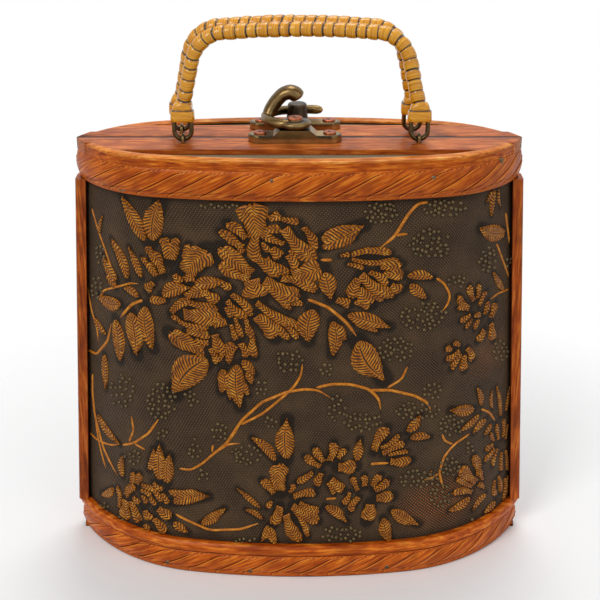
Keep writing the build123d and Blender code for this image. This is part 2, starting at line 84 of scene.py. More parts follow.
class Plan:
    """Half-oval plan of one half: a front arc between two tighter end arcs."""

    def __init__(self, half_depth, front_radius, front_half_width, end_radius):
        self.front_radius = front_radius
        self.end_radius = end_radius
        self.turn = math.asin(front_half_width / front_radius)
        self.front_centre_y = front_radius - half_depth
        step = front_radius - end_radius
        self.end_centre_x = step * math.sin(self.turn)
        self.end_centre_y = self.front_centre_y - step * math.cos(self.turn)

    def point(self, place, inset):
        """Points at places 0 to 3: left end arc, front arc, right end arc, one unit each."""
        place = np.asarray(place, dtype=float)
        end_radius = self.end_radius - inset
        end_angle = math.asin((-HALF_GAP - self.end_centre_y) / end_radius)
        quarter = math.pi / 2
        sweep = end_angle + quarter - self.turn
        left = math.pi - end_angle + sweep * np.clip(place, 0, 1)
        front = -quarter - self.turn + 2 * self.turn * np.clip(place - 1, 0, 1)
        right = self.turn - quarter + sweep * np.clip(place - 2, 0, 1)
        front_radius = self.front_radius - inset
        x = np.where(place < 1, -self.end_centre_x + end_radius * np.cos(left),
                     np.where(place < 2, front_radius * np.cos(front),
                              self.end_centre_x + end_radius * np.cos(right)))
        y = np.where(place < 1, self.end_centre_y + end_radius * np.sin(left),
                     np.where(place < 2, self.front_centre_y + front_radius * np.sin(front),
                              self.end_centre_y + end_radius * np.sin(right)))
        return np.stack([x, y], axis=-1)

    def table(self, inset):
        """Places, and the length along the outline at each, from the middle of the front."""
        places = np.linspace(0, 3, 901)
        points = self.point(places, inset)
        steps = np.linalg.norm(np.diff(points, axis=0), axis=1)
        lengths = np.concatenate([[0], np.cumsum(steps)])
        return places, lengths - lengths[-1] / 2


# Half depth, radius of the front, half its width, and radius of the ends
TOP = Plan(37.0, 340.0, 64.0, 55.0)
BOTTOM = Plan(48.0, 320.0, 54.0, 85.0)
TOP_PLACES, TOP_LENGTHS = TOP.table(RIM_THICKNESS)
_, BOTTOM_LENGTHS = BOTTOM.table(RIM_THICKNESS)
MIDDLE_LENGTHS = (TOP_LENGTHS + BOTTOM_LENGTHS) / 2


def rise_share(z):
    """How far up the tapered wall a height is, 0 at the bottom rim and 1 at the top rim."""
    share = (np.asarray(z, dtype=float) - BOTTOM_RIM_HEIGHT) / (TOP_RIM_BASE - BOTTOM_RIM_HEIGHT)
    return np.clip(share, 0, 1)


def half_length(z):
    """Half the wall's length round its outline, at a height."""
    share = rise_share(z)
    return BOTTOM_LENGTHS[-1] * (1 - share) + TOP_LENGTHS[-1] * share


def wall_place(along, z):
    """Place on the outline of a point some way along the wall from its middle."""
    scaled = np.asarray(along, dtype=float) / half_length(z) * MIDDLE_LENGTHS[-1]
    return np.interp(scaled, MIDDLE_LENGTHS, TOP_PLACES)


def wall_surface(along, z, inset=RIM_THICKNESS):
    """Point of the wall's outer face, some way along it and at a height."""
    share = rise_share(z)[..., None]
    place = wall_place(along, z)
    flat = BOTTOM.point(place, inset) * (1 - share) + TOP.point(place, inset) * share
    return np.concatenate([flat, np.asarray(z, dtype=float)[..., None]], axis=-1)


# How far apart two points are taken where a surface's slope is measured
SLOPE_STEP = 0.5


def wall_point(along, z, lift):
    """Point of the wall's outer face, lifted along its normal."""
    along = np.asarray(along, dtype=float)
    z = np.asarray(z, dtype=float)
    reach = half_length(z) - 2 * SLOPE_STEP
    near = np.clip(along, -reach, reach)
    across = wall_surface(near + SLOPE_STEP, z) - wall_surface(near - SLOPE_STEP, z)
    up = wall_surface(near, z + SLOPE_STEP) - wall_surface(near, z - SLOPE_STEP)
    normal = np.cross(across, up)
    normal /= np.linalg.norm(normal, axis=-1, keepdims=True)
    return wall_surface(along, z) + normal * np.asarray(lift, dtype=float)[..., None]


def seen_at(points):
    """Pixels of the photograph at which points in millimetres show."""
    points = np.asarray(points, dtype=float)
    forward = points[..., 1] + CAMERA_DISTANCE
    above = points[..., 2] - CAMERA_HEIGHT
    depth = forward * math.cos(CAMERA_PITCH) - above * math.sin(CAMERA_PITCH)
    down = -forward * math.sin(CAMERA_PITCH) - above * math.cos(CAMERA_PITCH)
    x = CAMERA_CENTRE[0] + CAMERA_FOCUS * points[..., 0] / depth
    y = CAMERA_CENTRE[1] + CAMERA_FOCUS * down / depth
    return np.stack([x, y], axis=-1)


# A point for each millimetre of the wall, and where it shows in the photograph
GRID_ALONG, GRID_Z = np.meshgrid(np.linspace(-118, 118, 237), np.linspace(12, 200, 189))
GRID_SEEN = seen_at(wall_surface(GRID_ALONG, GRID_Z))


def on_wall(pixel):
    """(along, z) of the wall's point that shows at a pixel of the photograph."""
    gap = np.linalg.norm(GRID_SEEN - np.asarray(pixel, dtype=float), axis=-1)
    nearest = np.unravel_index(np.argmin(gap), gap.shape)
    spot = np.array([GRID_ALONG[nearest], GRID_Z[nearest]])
    for _ in range(3):
        here = seen_at(wall_surface(spot[0], spot[1]))
        slope_along = seen_at(wall_surface(spot[0] + SLOPE_STEP, spot[1])) - here
        slope_z = seen_at(wall_surface(spot[0], spot[1] + SLOPE_STEP)) - here
        slopes = np.stack([slope_along, slope_z], axis=1) / SLOPE_STEP
        step, *_ = np.linalg.lstsq(slopes, np.asarray(pixel, dtype=float) - here, rcond=0.05)
        spot = spot + np.clip(step, -1.5, 1.5)
    return spot


# Materials

def node_material(name, roughness=0.5, metallic=0.0, shine=0.3):
    """A new material with its node tree and its shader."""
    material = bpy.data.materials.new(name)
    material.use_nodes = True
    shader = material.node_tree.nodes["Principled BSDF"]
    shader.inputs["Roughness"].default_value = roughness
    shader.inputs["Metallic"].default_value = metallic
    shader.inputs["Specular IOR Level"].default_value = shine
    return material, material.node_tree, shader


def source_vector(tree, kind, scale=(1, 1, 1), turn=(0, 0, 0)):
    """Pattern coordinates: Object (metres) or UV (millimetres), scaled and turned."""
    coordinates = tree.nodes.new("ShaderNodeTexCoord")
    mapping = tree.nodes.new("ShaderNodeMapping")
    mapping.inputs["Scale"].default_value = scale
    mapping.inputs["Rotation"].default_value = turn
    tree.links.new(coordinates.outputs[kind], mapping.inputs["Vector"])
    return mapping.outputs["Vector"]


def noise(tree, vector, scale, detail=3.0, roughness=0.55, distortion=0.0):
    """Cloudy grey pattern."""
    node = tree.nodes.new("ShaderNodeTexNoise")
    node.inputs["Scale"].default_value = scale
    node.inputs["Detail"].default_value = detail
    node.inputs["Roughness"].default_value = roughness
    node.inputs["Distortion"].default_value = distortion
    tree.links.new(vector, node.inputs["Vector"])
    return node.outputs["Fac"]


def waves(tree, vector, scale, distortion=0.0, detail=2.0):
    """Grey bands across the first axis."""
    node = tree.nodes.new("ShaderNodeTexWave")
    node.wave_type = "BANDS"
    node.bands_direction = "X"
    node.inputs["Scale"].default_value = scale
    node.inputs["Distortion"].default_value = distortion
    node.inputs["Detail"].default_value = detail
    tree.links.new(vector, node.inputs["Vector"])
    return node.outputs["Fac"]


def ramp(tree, factor, stops):
    """Colours along a factor: stops are (position, colour)."""
    node = tree.nodes.new("ShaderNodeValToRGB")
    elements = node.color_ramp.elements
    while len(elements) < len(stops):
        elements.new(0.5)
    for element, (position, colour) in zip(elements, stops):
        element.position = position
        element.color = colour
    tree.links.new(factor, node.inputs["Fac"])
    return node.outputs["Color"]


def grey_ramp(tree, factor, low, high):
    """0 at one factor and 1 at the other, which may be the lower one."""
    return ramp(tree, factor, sorted([(low, (0, 0, 0, 1)), (high, (1, 1, 1, 1))]))


def blend_colour(tree, factor, first, second):
    """One colour where the factor is 0, the other where it is 1."""
    node = tree.nodes.new("ShaderNodeMix")
    node.data_type = "RGBA"
    for socket, value in (("Factor", factor), ("A", first), ("B", second)):
        target = [s for s in node.inputs if s.name == socket and s.enabled][0]
        if isinstance(value, (float, tuple)):
            target.default_value = value
        else:
            tree.links.new(value, target)
    return [s for s in node.outputs if s.enabled][0]


def sums(tree, operation, first, second):
    """A sum on two values, each a number or a socket."""
    node = tree.nodes.new("ShaderNodeMath")
    node.operation = operation
    for index, value in enumerate((first, second)):
        if isinstance(value, (int, float)):
            node.inputs[index].default_value = value
        else:
            tree.links.new(value, node.inputs[index])
    return node.outputs[0]


def attribute(tree, name):
    """A point value that the mesh carries."""
    node = tree.nodes.new("ShaderNodeAttribute")
    node.attribute_name = name
    return node.outputs["Fac"]


def bump(tree, shader, height, distance, strength=1.0):
    """Fine relief in a shader's normal, its distance in metres."""
    node = tree.nodes.new("ShaderNodeBump")
    node.inputs["Strength"].default_value = strength
    node.inputs["Distance"].default_value = distance
    tree.links.new(height, node.inputs["Height"])
    tree.links.new(node.outputs["Normal"], shader.inputs["Normal"])


def crevices(tree, samples=6, distance=0.0012):
    """1 in the open, lower where surfaces crowd together."""
    node = tree.nodes.new("ShaderNodeAmbientOcclusion")
    node.samples = samples
    node.inputs["Distance"].default_value = distance
    return node.outputs["AO"]


def shade_of(colour, share):
    """A colour made darker or lighter by a share."""
    return tuple(min(1.0, share * channel) for channel in colour[:3]) + (1.0,)


WOOD_SHINE = 0.12
PORE_FINENESS = 3.2
PORE_DEPTH = 0.00012


def varnished_wood(name, kind, stretch, tones, roughness=0.38, streaks=0.5):
    """Varnished wood whose grain runs along the first axis of its coordinates."""
    material, tree, shader = node_material(name, roughness, 0.0, WOOD_SHINE)
    dark, middle, light = tones
    long_grain = noise(tree, source_vector(tree, kind, stretch), 1.0, 6.0, 0.6, 0.3)
    fine_stretch = tuple(PORE_FINENESS * s for s in stretch)
    pores = noise(tree, source_vector(tree, kind, fine_stretch), 1.0, 4.0, 0.7, 0.2)
    cloud_scale = 0.09 if kind == "UV" else 70.0
    clouds = noise(tree, source_vector(tree, kind), cloud_scale, 2.0)
    base = ramp(tree, long_grain, [(0.32, dark), (0.5, middle), (0.66, light)])
    stained = blend_colour(tree, grey_ramp(tree, clouds, 0.56, 0.36), base, dark)
    shaded = blend_colour(tree, 0.45, stained, base)
    if kind == "UV":
        # On carved wood: a painted highlight on the leaves' lips and painted shade in the cuts
        raised = sums(tree, "MULTIPLY", attribute(tree, "crown"), 0.6)
        shaded = blend_colour(tree, raised, shaded, shade_of(light, 1.15))
        cut = sums(tree, "MULTIPLY", attribute(tree, "gap"), 0.85)
        shaded = blend_colour(tree, cut, shaded, shade_of(dark, 0.3))
    line_share = sums(tree, "MULTIPLY", grey_ramp(tree, pores, 0.6, 0.72), streaks)
    streaked = blend_colour(tree, line_share, shaded, shade_of(dark, 0.35))
    # Painted shade: the wood is darkened where surfaces crowd together
    crevice_shade_and_grime = grey_ramp(tree, crevices(tree), 0.25, 0.8)
    tree.links.new(blend_colour(tree, crevice_shade_and_grime, shade_of(dark, 0.22), streaked), shader.inputs["Base Color"])
    bump(tree, shader, pores, PORE_DEPTH, 0.6)
    shader.inputs["Coat Weight"].default_value = 0.08
    shader.inputs["Coat Roughness"].default_value = 0.25
    return material


# Dark, middle and light tone of each wood
WOOD_TONES = (linear(130, 46, 4), linear(200, 92, 14), linear(236, 140, 44))
BAR_TONES = (linear(128, 52, 12), linear(196, 98, 32), linear(230, 142, 66))
PALE_TONES = (linear(170, 82, 14), linear(220, 126, 40), linear(244, 172, 84))
POST_TONES = (linear(104, 40, 8), linear(176, 80, 20), linear(212, 122, 46))
# Painted shade for the seam between the halves, also the colour of the cracks
SEAM_SHADE_AND_CRACK_TONE = linear(30, 12, 6)


def add_seam_groove(material):
    """Round the bars down towards the seam, with painted shade in the seam and dark cracks beside it."""
    tree = material.node_tree
    shader = tree.nodes["Principled BSDF"]
    split = tree.nodes.new("ShaderNodeSeparateXYZ")
    tree.links.new(source_vector(tree, "Object"), split.inputs[0])
    away = sums(tree, "ABSOLUTE", split.outputs["Y"], 0.0)
    white, black = (1, 1, 1, 1), (0, 0, 0, 1)
    # Painted shade along the seam between the two halves
    seam_shade = ramp(tree, sums(tree, "MULTIPLY", away, 500.0), [(0.15, white), (0.8, black)])
    near = ramp(tree, sums(tree, "MULTIPLY", away, 100.0), [(0.1, white), (0.75, black)])
    fall = ramp(tree, sums(tree, "MULTIPLY", away, 330.0), [(0.0, black), (1.0, white)])
    cracks = noise(tree, source_vector(tree, "Object", (38, 520, 520)), 1.0, 5.0, 0.7, 0.4)
    cracked = sums(tree, "MULTIPLY", grey_ramp(tree, cracks, 0.56, 0.62), near)
    shade = sums(tree, "MAXIMUM", seam_shade, cracked)
    under = shader.inputs["Base Color"].links[0].from_socket
    tree.links.new(blend_colour(tree, shade, under, SEAM_SHADE_AND_CRACK_TONE), shader.inputs["Base Color"])
    height = sums(tree, "SUBTRACT", fall, sums(tree, "MULTIPLY", cracked, 0.5))
    bump(tree, shader, height, 0.0014, 1.0)


carved_wood = varnished_wood("carved_wood", "UV", (0.07, 0.9, 1.0), WOOD_TONES, 0.36, 0.4)
bar_wood = varnished_wood("bar_wood", "Object", (70, 900, 900), BAR_TONES, 0.42, 0.8)
add_seam_groove(bar_wood)
band_wood = varnished_wood("band_wood", "Object", (90, 300, 900), WOOD_TONES, 0.38, 0.6)
post_wood = varnished_wood("post_wood", "Object", (900, 900, 60), POST_TONES, 0.4, 0.8)
edging_wood = varnished_wood("edging_wood", "Object", (120, 700, 700), PALE_TONES, 0.35, 0.5)

# Tones of the cover, the gilt motifs and the cane
COVER_TONES = (linear(42, 30, 20), linear(62, 47, 33), linear(82, 62, 43))
THREAD_TONE = linear(136, 106, 74)
WORN_TONE = linear(196, 110, 42)
HALO_SHADE_TONE = linear(16, 12, 8)
OCHRE_TONES = (linear(140, 76, 8), linear(192, 114, 16), linear(226, 156, 50))
VEIN_TONE = linear(62, 34, 8)
PETAL_EDGE_TONE = linear(204, 122, 24)
PETAL_FOOT_SHADE_TONE = linear(28, 21, 11)
CANE_TONES = (linear(166, 98, 4), linear(222, 150, 14), linear(250, 196, 60))
CANE_GAP_SHADE_TONE = linear(34, 16, 6)


def cover_material():
    """Embossed cover: dark olive-brown with a fine slanting weave, worn to orange low on the right."""
    material, tree, shader = node_material("embossed_cover", 0.6, 0.0, 0.16)
    flat = source_vector(tree, "UV")
    down = waves(tree, source_vector(tree, "UV", turn=(0, 0, math.radians(33))), 0.25, 0.5)
    across = waves(tree, source_vector(tree, "UV", turn=(0, 0, math.radians(-48))), 0.29, 0.5)
    weave = sums(tree, "MULTIPLY", down, across)
    patches = noise(tree, flat, 0.05, 4.0)
    base = ramp(tree, patches, list(zip((0.3, 0.5, 0.7), COVER_TONES)))
    specks = grey_ramp(tree, weave, 0.3, 0.85)
    threads = blend_colour(tree, sums(tree, "MULTIPLY", specks, 0.8), base, THREAD_TONE)
    worn = grey_ramp(tree, sums(tree, "MULTIPLY", attribute(tree, "wear"), specks), 0.1, 0.6)
    rubbed = blend_colour(tree, worn, threads, WORN_TONE)
    # Painted shade round the motifs, along the rims and towards the wall's ends
    halo_shade = sums(tree, "MULTIPLY", attribute(tree, "halo_shade"), 0.78)
    tree.links.new(blend_colour(tree, halo_shade, rubbed, HALO_SHADE_TONE), shader.inputs["Base Color"])
    bump(tree, shader, weave, 0.0005, 1.0)
    return material


def gilt_material():
    """Raised flowers: ochre, bright along each petal's edge, with dark combed veins inside, and painted shade
    at the foot of each petal, leaf and stem and along the leaves' midribs.
    """
    material, tree, shader = node_material("gilt_relief", 0.45, 0.0, 0.3)
    combed = waves(tree, source_vector(tree, "UV"), 0.205, 0.9, 1.0)
    veins = grey_ramp(tree, combed, 0.08, 0.62)
    crown = attribute(tree, "crown")
    tone = noise(tree, source_vector(tree, "Object"), 300.0, 4.0)
    ochre = ramp(tree, tone, list(zip((0.3, 0.5, 0.7), OCHRE_TONES)))
    combed_colour = blend_colour(tree, veins, VEIN_TONE, ochre)
    outlined = blend_colour(tree, grey_ramp(tree, crown, 0.36, 0.62), PETAL_EDGE_TONE, combed_colour)
    # Painted shade where the crown value is low: at each motif's foot and in the leaves' midribs
    edge = blend_colour(tree, grey_ramp(tree, crown, 0.1, 0.34), PETAL_FOOT_SHADE_TONE, outlined)
    tree.links.new(edge, shader.inputs["Base Color"])
    bump(tree, shader, veins, 0.0006, 1.0)
    return material


def plain_material(name, colour, roughness, metallic=0.0, grain=900.0, spread=0.25, depth=0.0001):
    """A finish with a little mottling of its colour."""
    material, tree, shader = node_material(name, roughness, metallic)
    mottle = noise(tree, source_vector(tree, "Object"), grain, 4.0)
    stops = [(0.32, shade_of(colour, 1 - spread)), (0.68, shade_of(colour, 1 + spread))]
    tree.links.new(ramp(tree, mottle, stops), shader.inputs["Base Color"])
    bump(tree, shader, mottle, depth, 0.5)
    return material


def worn_metal(name, dark, bright, roughness=0.4):
    """Cast metal, antiqued dark in its hollows, its edges bright partly from rubbing and partly as a painted
    highlight.
    """
    material, tree, shader = node_material(name, roughness, 1.0)
    patches = noise(tree, source_vector(tree, "Object"), 420.0, 5.0, 0.65)
    geometry = tree.nodes.new("ShaderNodeNewGeometry")
    # Bright edges: partly rubbed wear, partly a painted highlight
    edges = grey_ramp(tree, geometry.outputs["Pointiness"], 0.5, 0.58)
    rubbed = sums(tree, "MULTIPLY", edges, sums(tree, "ADD", patches, 0.25))
    tone = ramp(tree, patches, [(0.3, shade_of(dark, 0.6)), (0.7, dark)])
    colour = blend_colour(tree, rubbed, tone, bright)
    crevice_shade_and_grime = grey_ramp(tree, crevices(tree, 6, 0.002), 0.2, 0.8)
    tree.links.new(blend_colour(tree, crevice_shade_and_grime, shade_of(dark, 0.2), colour), shader.inputs["Base Color"])
    bump(tree, shader, patches, 0.00015, 0.5)
    return material


def cane_material():
    """Glossy golden cane strip, streaked along its length, with painted shade in the gaps between turns."""
    material, tree, shader = node_material("cane_wrap", 0.28)
    fibres = noise(tree, source_vector(tree, "UV", (0.25, 1.9, 1)), 1.0, 4.0, 0.6)
    base = ramp(tree, fibres, list(zip((0.3, 0.5, 0.72), CANE_TONES)))
    # Painted shade in the gaps between the turns and in the collars' groove
    gap = grey_ramp(tree, attribute(tree, "gap"), 0.1, 0.7)
    tree.links.new(blend_colour(tree, gap, base, CANE_GAP_SHADE_TONE), shader.inputs["Base Color"])
    bump(tree, shader, fibres, 0.0001, 0.5)
    shader.inputs["Coat Weight"].default_value = 0.4
    shader.inputs["Coat Roughness"].default_value = 0.18
    return material


def flat_shade(name, colour, roughness=0.6):
    """A flat dark colour that stands in as painted shade for holes, nails and scratches."""
    material, tree, shader = node_material(name, roughness)
    shader.inputs["Base Color"].default_value = colour
    return material


cover = cover_material()
gilt = gilt_material()
berry_gilt = plain_material("berry", linear(96, 78, 46), 0.22, 0.0, 700.0, 0.6)
cane = cane_material()
bronze = worn_metal("antique_bronze", linear(54, 48, 35), linear(196, 158, 98), 0.32)
gunmetal = worn_metal("dark_post", linear(58, 52, 44), linear(146, 120, 90), 0.4)
copper = worn_metal("copper_heads", linear(166, 88, 58), linear(214, 140, 100), 0.42)
hinge_brass = worn_metal("hinge_brass", linear(140, 116, 70), linear(200, 170, 110), 0.4)
steel = worn_metal("steel", linear(140, 138, 132), linear(190, 188, 180), 0.35)
panel_cover = plain_material("panel_cover", linear(128, 117, 92), 0.7, 0.0, 1400.0, 0.28, 0.0002)
hole_shade = flat_shade("hole_shade", linear(26, 14, 10))
lining_cloth = plain_material("lining_cloth", linear(112, 80, 50), 0.85, 0.0, 2200.0, 0.18, 0.0002)


# Building meshes

def finished(name, mesh_builder, material, body, smooth=True):
    """An object at the origin from a bmesh in millimetres, riding on a body."""
    bmesh.ops.scale(mesh_builder, vec=(MM, MM, MM), verts=mesh_builder.verts)
    mesh = bpy.data.meshes.new(name)
    mesh_builder.to_mesh(mesh)
    mesh_builder.free()
    for polygon in mesh.polygons:
        polygon.use_smooth = smooth
    mesh.materials.append(material)
    piece = bpy.data.objects.new(name, mesh)
    bpy.context.scene.collection.objects.link(piece)
    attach(piece, body)
    return piece


def patch(target, columns, rows, shape):
    """Add a grid to a bmesh. shape(u, v) gives points, UVs and point values for u, v from 0 to 1."""
    uv_layer = target.loops.layers.uv.verify()
    layers = {name: target.verts.layers.float.get(name) or target.verts.layers.float.new(name)
              for name in ("crown", "gap", "halo_shade", "wear")}
    made = bmesh.ops.create_grid(target, x_segments=columns, y_segments=rows, size=0.5)["verts"]
    u = np.array([vertex.co.x for vertex in made]) + 0.5
    v = np.array([vertex.co.y for vertex in made]) + 0.5
    points, uv, values = shape(u, v)
    for index, vertex in enumerate(made):
        vertex.co = points[index]
        for name in values:
            vertex[layers[name]] = float(values[name][index])
        for loop in vertex.link_loops:
            loop[uv_layer].uv = uv[index]
    return made


def turned(piece, name, body):
    """A copy of a front piece for the back half, turned half round."""
    mesh = piece.data.copy()
    mesh.name = name
    mesh.transform(Matrix.Rotation(math.pi, 4, "Z"))
    copy = bpy.data.objects.new(name, mesh)
    bpy.context.scene.collection.objects.link(copy)
    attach(copy, body)
    return copy


# Carved rims

# The cut between two leaves, which is painted dark as shade, the lip beside it, which is painted bright as a
# highlight, and how finely a rim is divided
CUT_WIDTH = 0.3
LIP_PLACE = 0.8
LIP_WIDTH = 0.5
RIM_COLUMN = 0.3
BAND_ROWS = 34
# Near its ends the carving's lean fades out over this length
LEAN_FADE = 30.0
RIM_CHAMFER = 0.4
RIM_STEP = 0.35


def leaf_relief(along, height, pitch, run, depth):
    """Relief of the carved leaves, how much of each point is cut line, painted as shade, and how much is lip,
    painted as a highlight.
    """
    bend = run * height + pitch * 0.5 * np.clip((height - 0.82) / 0.18, 0, 1) ** 2
    cell = (along - bend) / pitch
    share = cell - np.floor(cell)
    groove = np.exp(-((np.minimum(share, 1 - share) * pitch) / CUT_WIDTH) ** 2)
    lip = np.exp(-((share * pitch - LIP_PLACE) / LIP_WIDTH) ** 2)
    tip_cell = (along - run * height + pitch * 0.35) / pitch
    tip_share = tip_cell - np.floor(tip_cell)
    tip_line = height - 0.22 * tip_share - 0.02
    tip_groove = np.exp(-(tip_line / 0.03) ** 2) * (tip_share < 0.75)
    swell = depth * (1 - share) * np.sin(np.pi * np.clip(height, 0, 1)) ** 0.4
    lift = swell + 0.2 * depth * lip - 1.5 * depth * groove - 0.9 * depth * tip_groove
    return lift, np.maximum(groove, 0.6 * tip_groove), lip


def rim_piece(node, plan, foot, top, carving, pitch, run, depth):
    """A bent strip, closed all round its section, whose band carries the carved leaves."""
    low, high = carving
    band = [(RIM_THICKNESS, z) for z in np.linspace(low, high, BAND_ROWS)]
    foot_corners = [(RIM_THICKNESS - RIM_CHAMFER, foot), (RIM_THICKNESS, foot + RIM_CHAMFER)]
    section = [(0.0, top), (0.0, foot)] + foot_corners + band + [(RIM_THICKNESS - RIM_STEP, top)]
    section = np.array(section + [section[0]])
    rows = len(section) - 1
    places, lengths = plan.table(0.0)
    total = lengths[-1] - lengths[0]
    relief_slope = math.tan(math.radians(HINGE_RELIEF_ANGLE))

    def shape(u, v):
        index = np.clip(np.rint(v * rows).astype(int), 0, rows)
        out = section[index, 0]
        z = section[index, 1]
        share = np.clip((z - low) / (high - low), 0, 1)
        inside = np.clip(np.minimum(u, 1 - u) * total / LEAN_FADE, 0, 1)
        along = lengths[0] + u * total + run * (share - 0.5) * inside
        on_band = (out >= RIM_THICKNESS - 0.01) & (z >= low) & (z <= high)
        relief, groove, lip = leaf_relief(along, share, pitch, run, depth)
        rounded = CARVING_BULGE * np.sqrt(np.clip(1 - (2 * share - 1) ** 2, 0, 1))
        carved = (relief - depth) * np.minimum(1, rounded / (0.4 * CARVING_BULGE))
        lift = np.where(on_band, rounded + carved, 0)
        place = np.interp(along, lengths, places)
        inner = plan.point(place, RIM_THICKNESS)
        direction = plan.point(place, 0.0) - inner
        direction /= np.linalg.norm(direction, axis=1, keepdims=True)
        flat = inner + direction * (out + lift)[:, None]
        hinge_room = np.clip(HINGE_PIN_HEIGHT - z, 0, None) / relief_slope
        flat[:, 1] = np.minimum(flat[:, 1], -HALF_GAP - hinge_room)
        points = np.concatenate([flat, z[:, None]], axis=1)
        grain = np.where(on_band, z - 0.5 * along, z)
        # Painted shade in the cuts and a painted highlight on the lips, carried as point values
        cut = np.where(on_band, groove, 0.0)
        edge = np.where(on_band, lip * (1 - groove), 0.0)
        return points, np.stack([along, grain], axis=1), {"gap": cut, "crown": edge}

    builder = bmesh.new()
    patch(builder, int(total / RIM_COLUMN), rows, shape)
    bmesh.ops.remove_doubles(builder, verts=builder.verts, dist=0.001)
    bmesh.ops.holes_fill(builder, edges=builder.edges, sides=0)
    bmesh.ops.recalc_face_normals(builder, faces=builder.faces)
    piece = finished("front_carved_" + node, builder, carved_wood, "front_half")
    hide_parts("front_" + node)
    copy = turned(piece, "back_carved_" + node, "back_half")
    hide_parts("back_" + node)


# Each rim's outline, its foot and top, its carved band, and the leaves' pitch, slant and depth
RIMS = {
    "top_rim": {"plan": TOP, "foot": TOP_RIM_BASE, "top": TOP_BAND_BASE, "carving": TOP_CARVING,
                "pitch": 14.8, "run": 22.0, "depth": 0.42},
    "bottom_rim": {"plan": BOTTOM, "foot": 0.0, "top": BEAD_BASE, "carving": BOTTOM_CARVING,
                   "pitch": 14.0, "run": 17.0, "depth": 0.5},
}

for rim_node, rim in RIMS.items():
    rim_piece(rim_node, **rim)


# Embossed walls

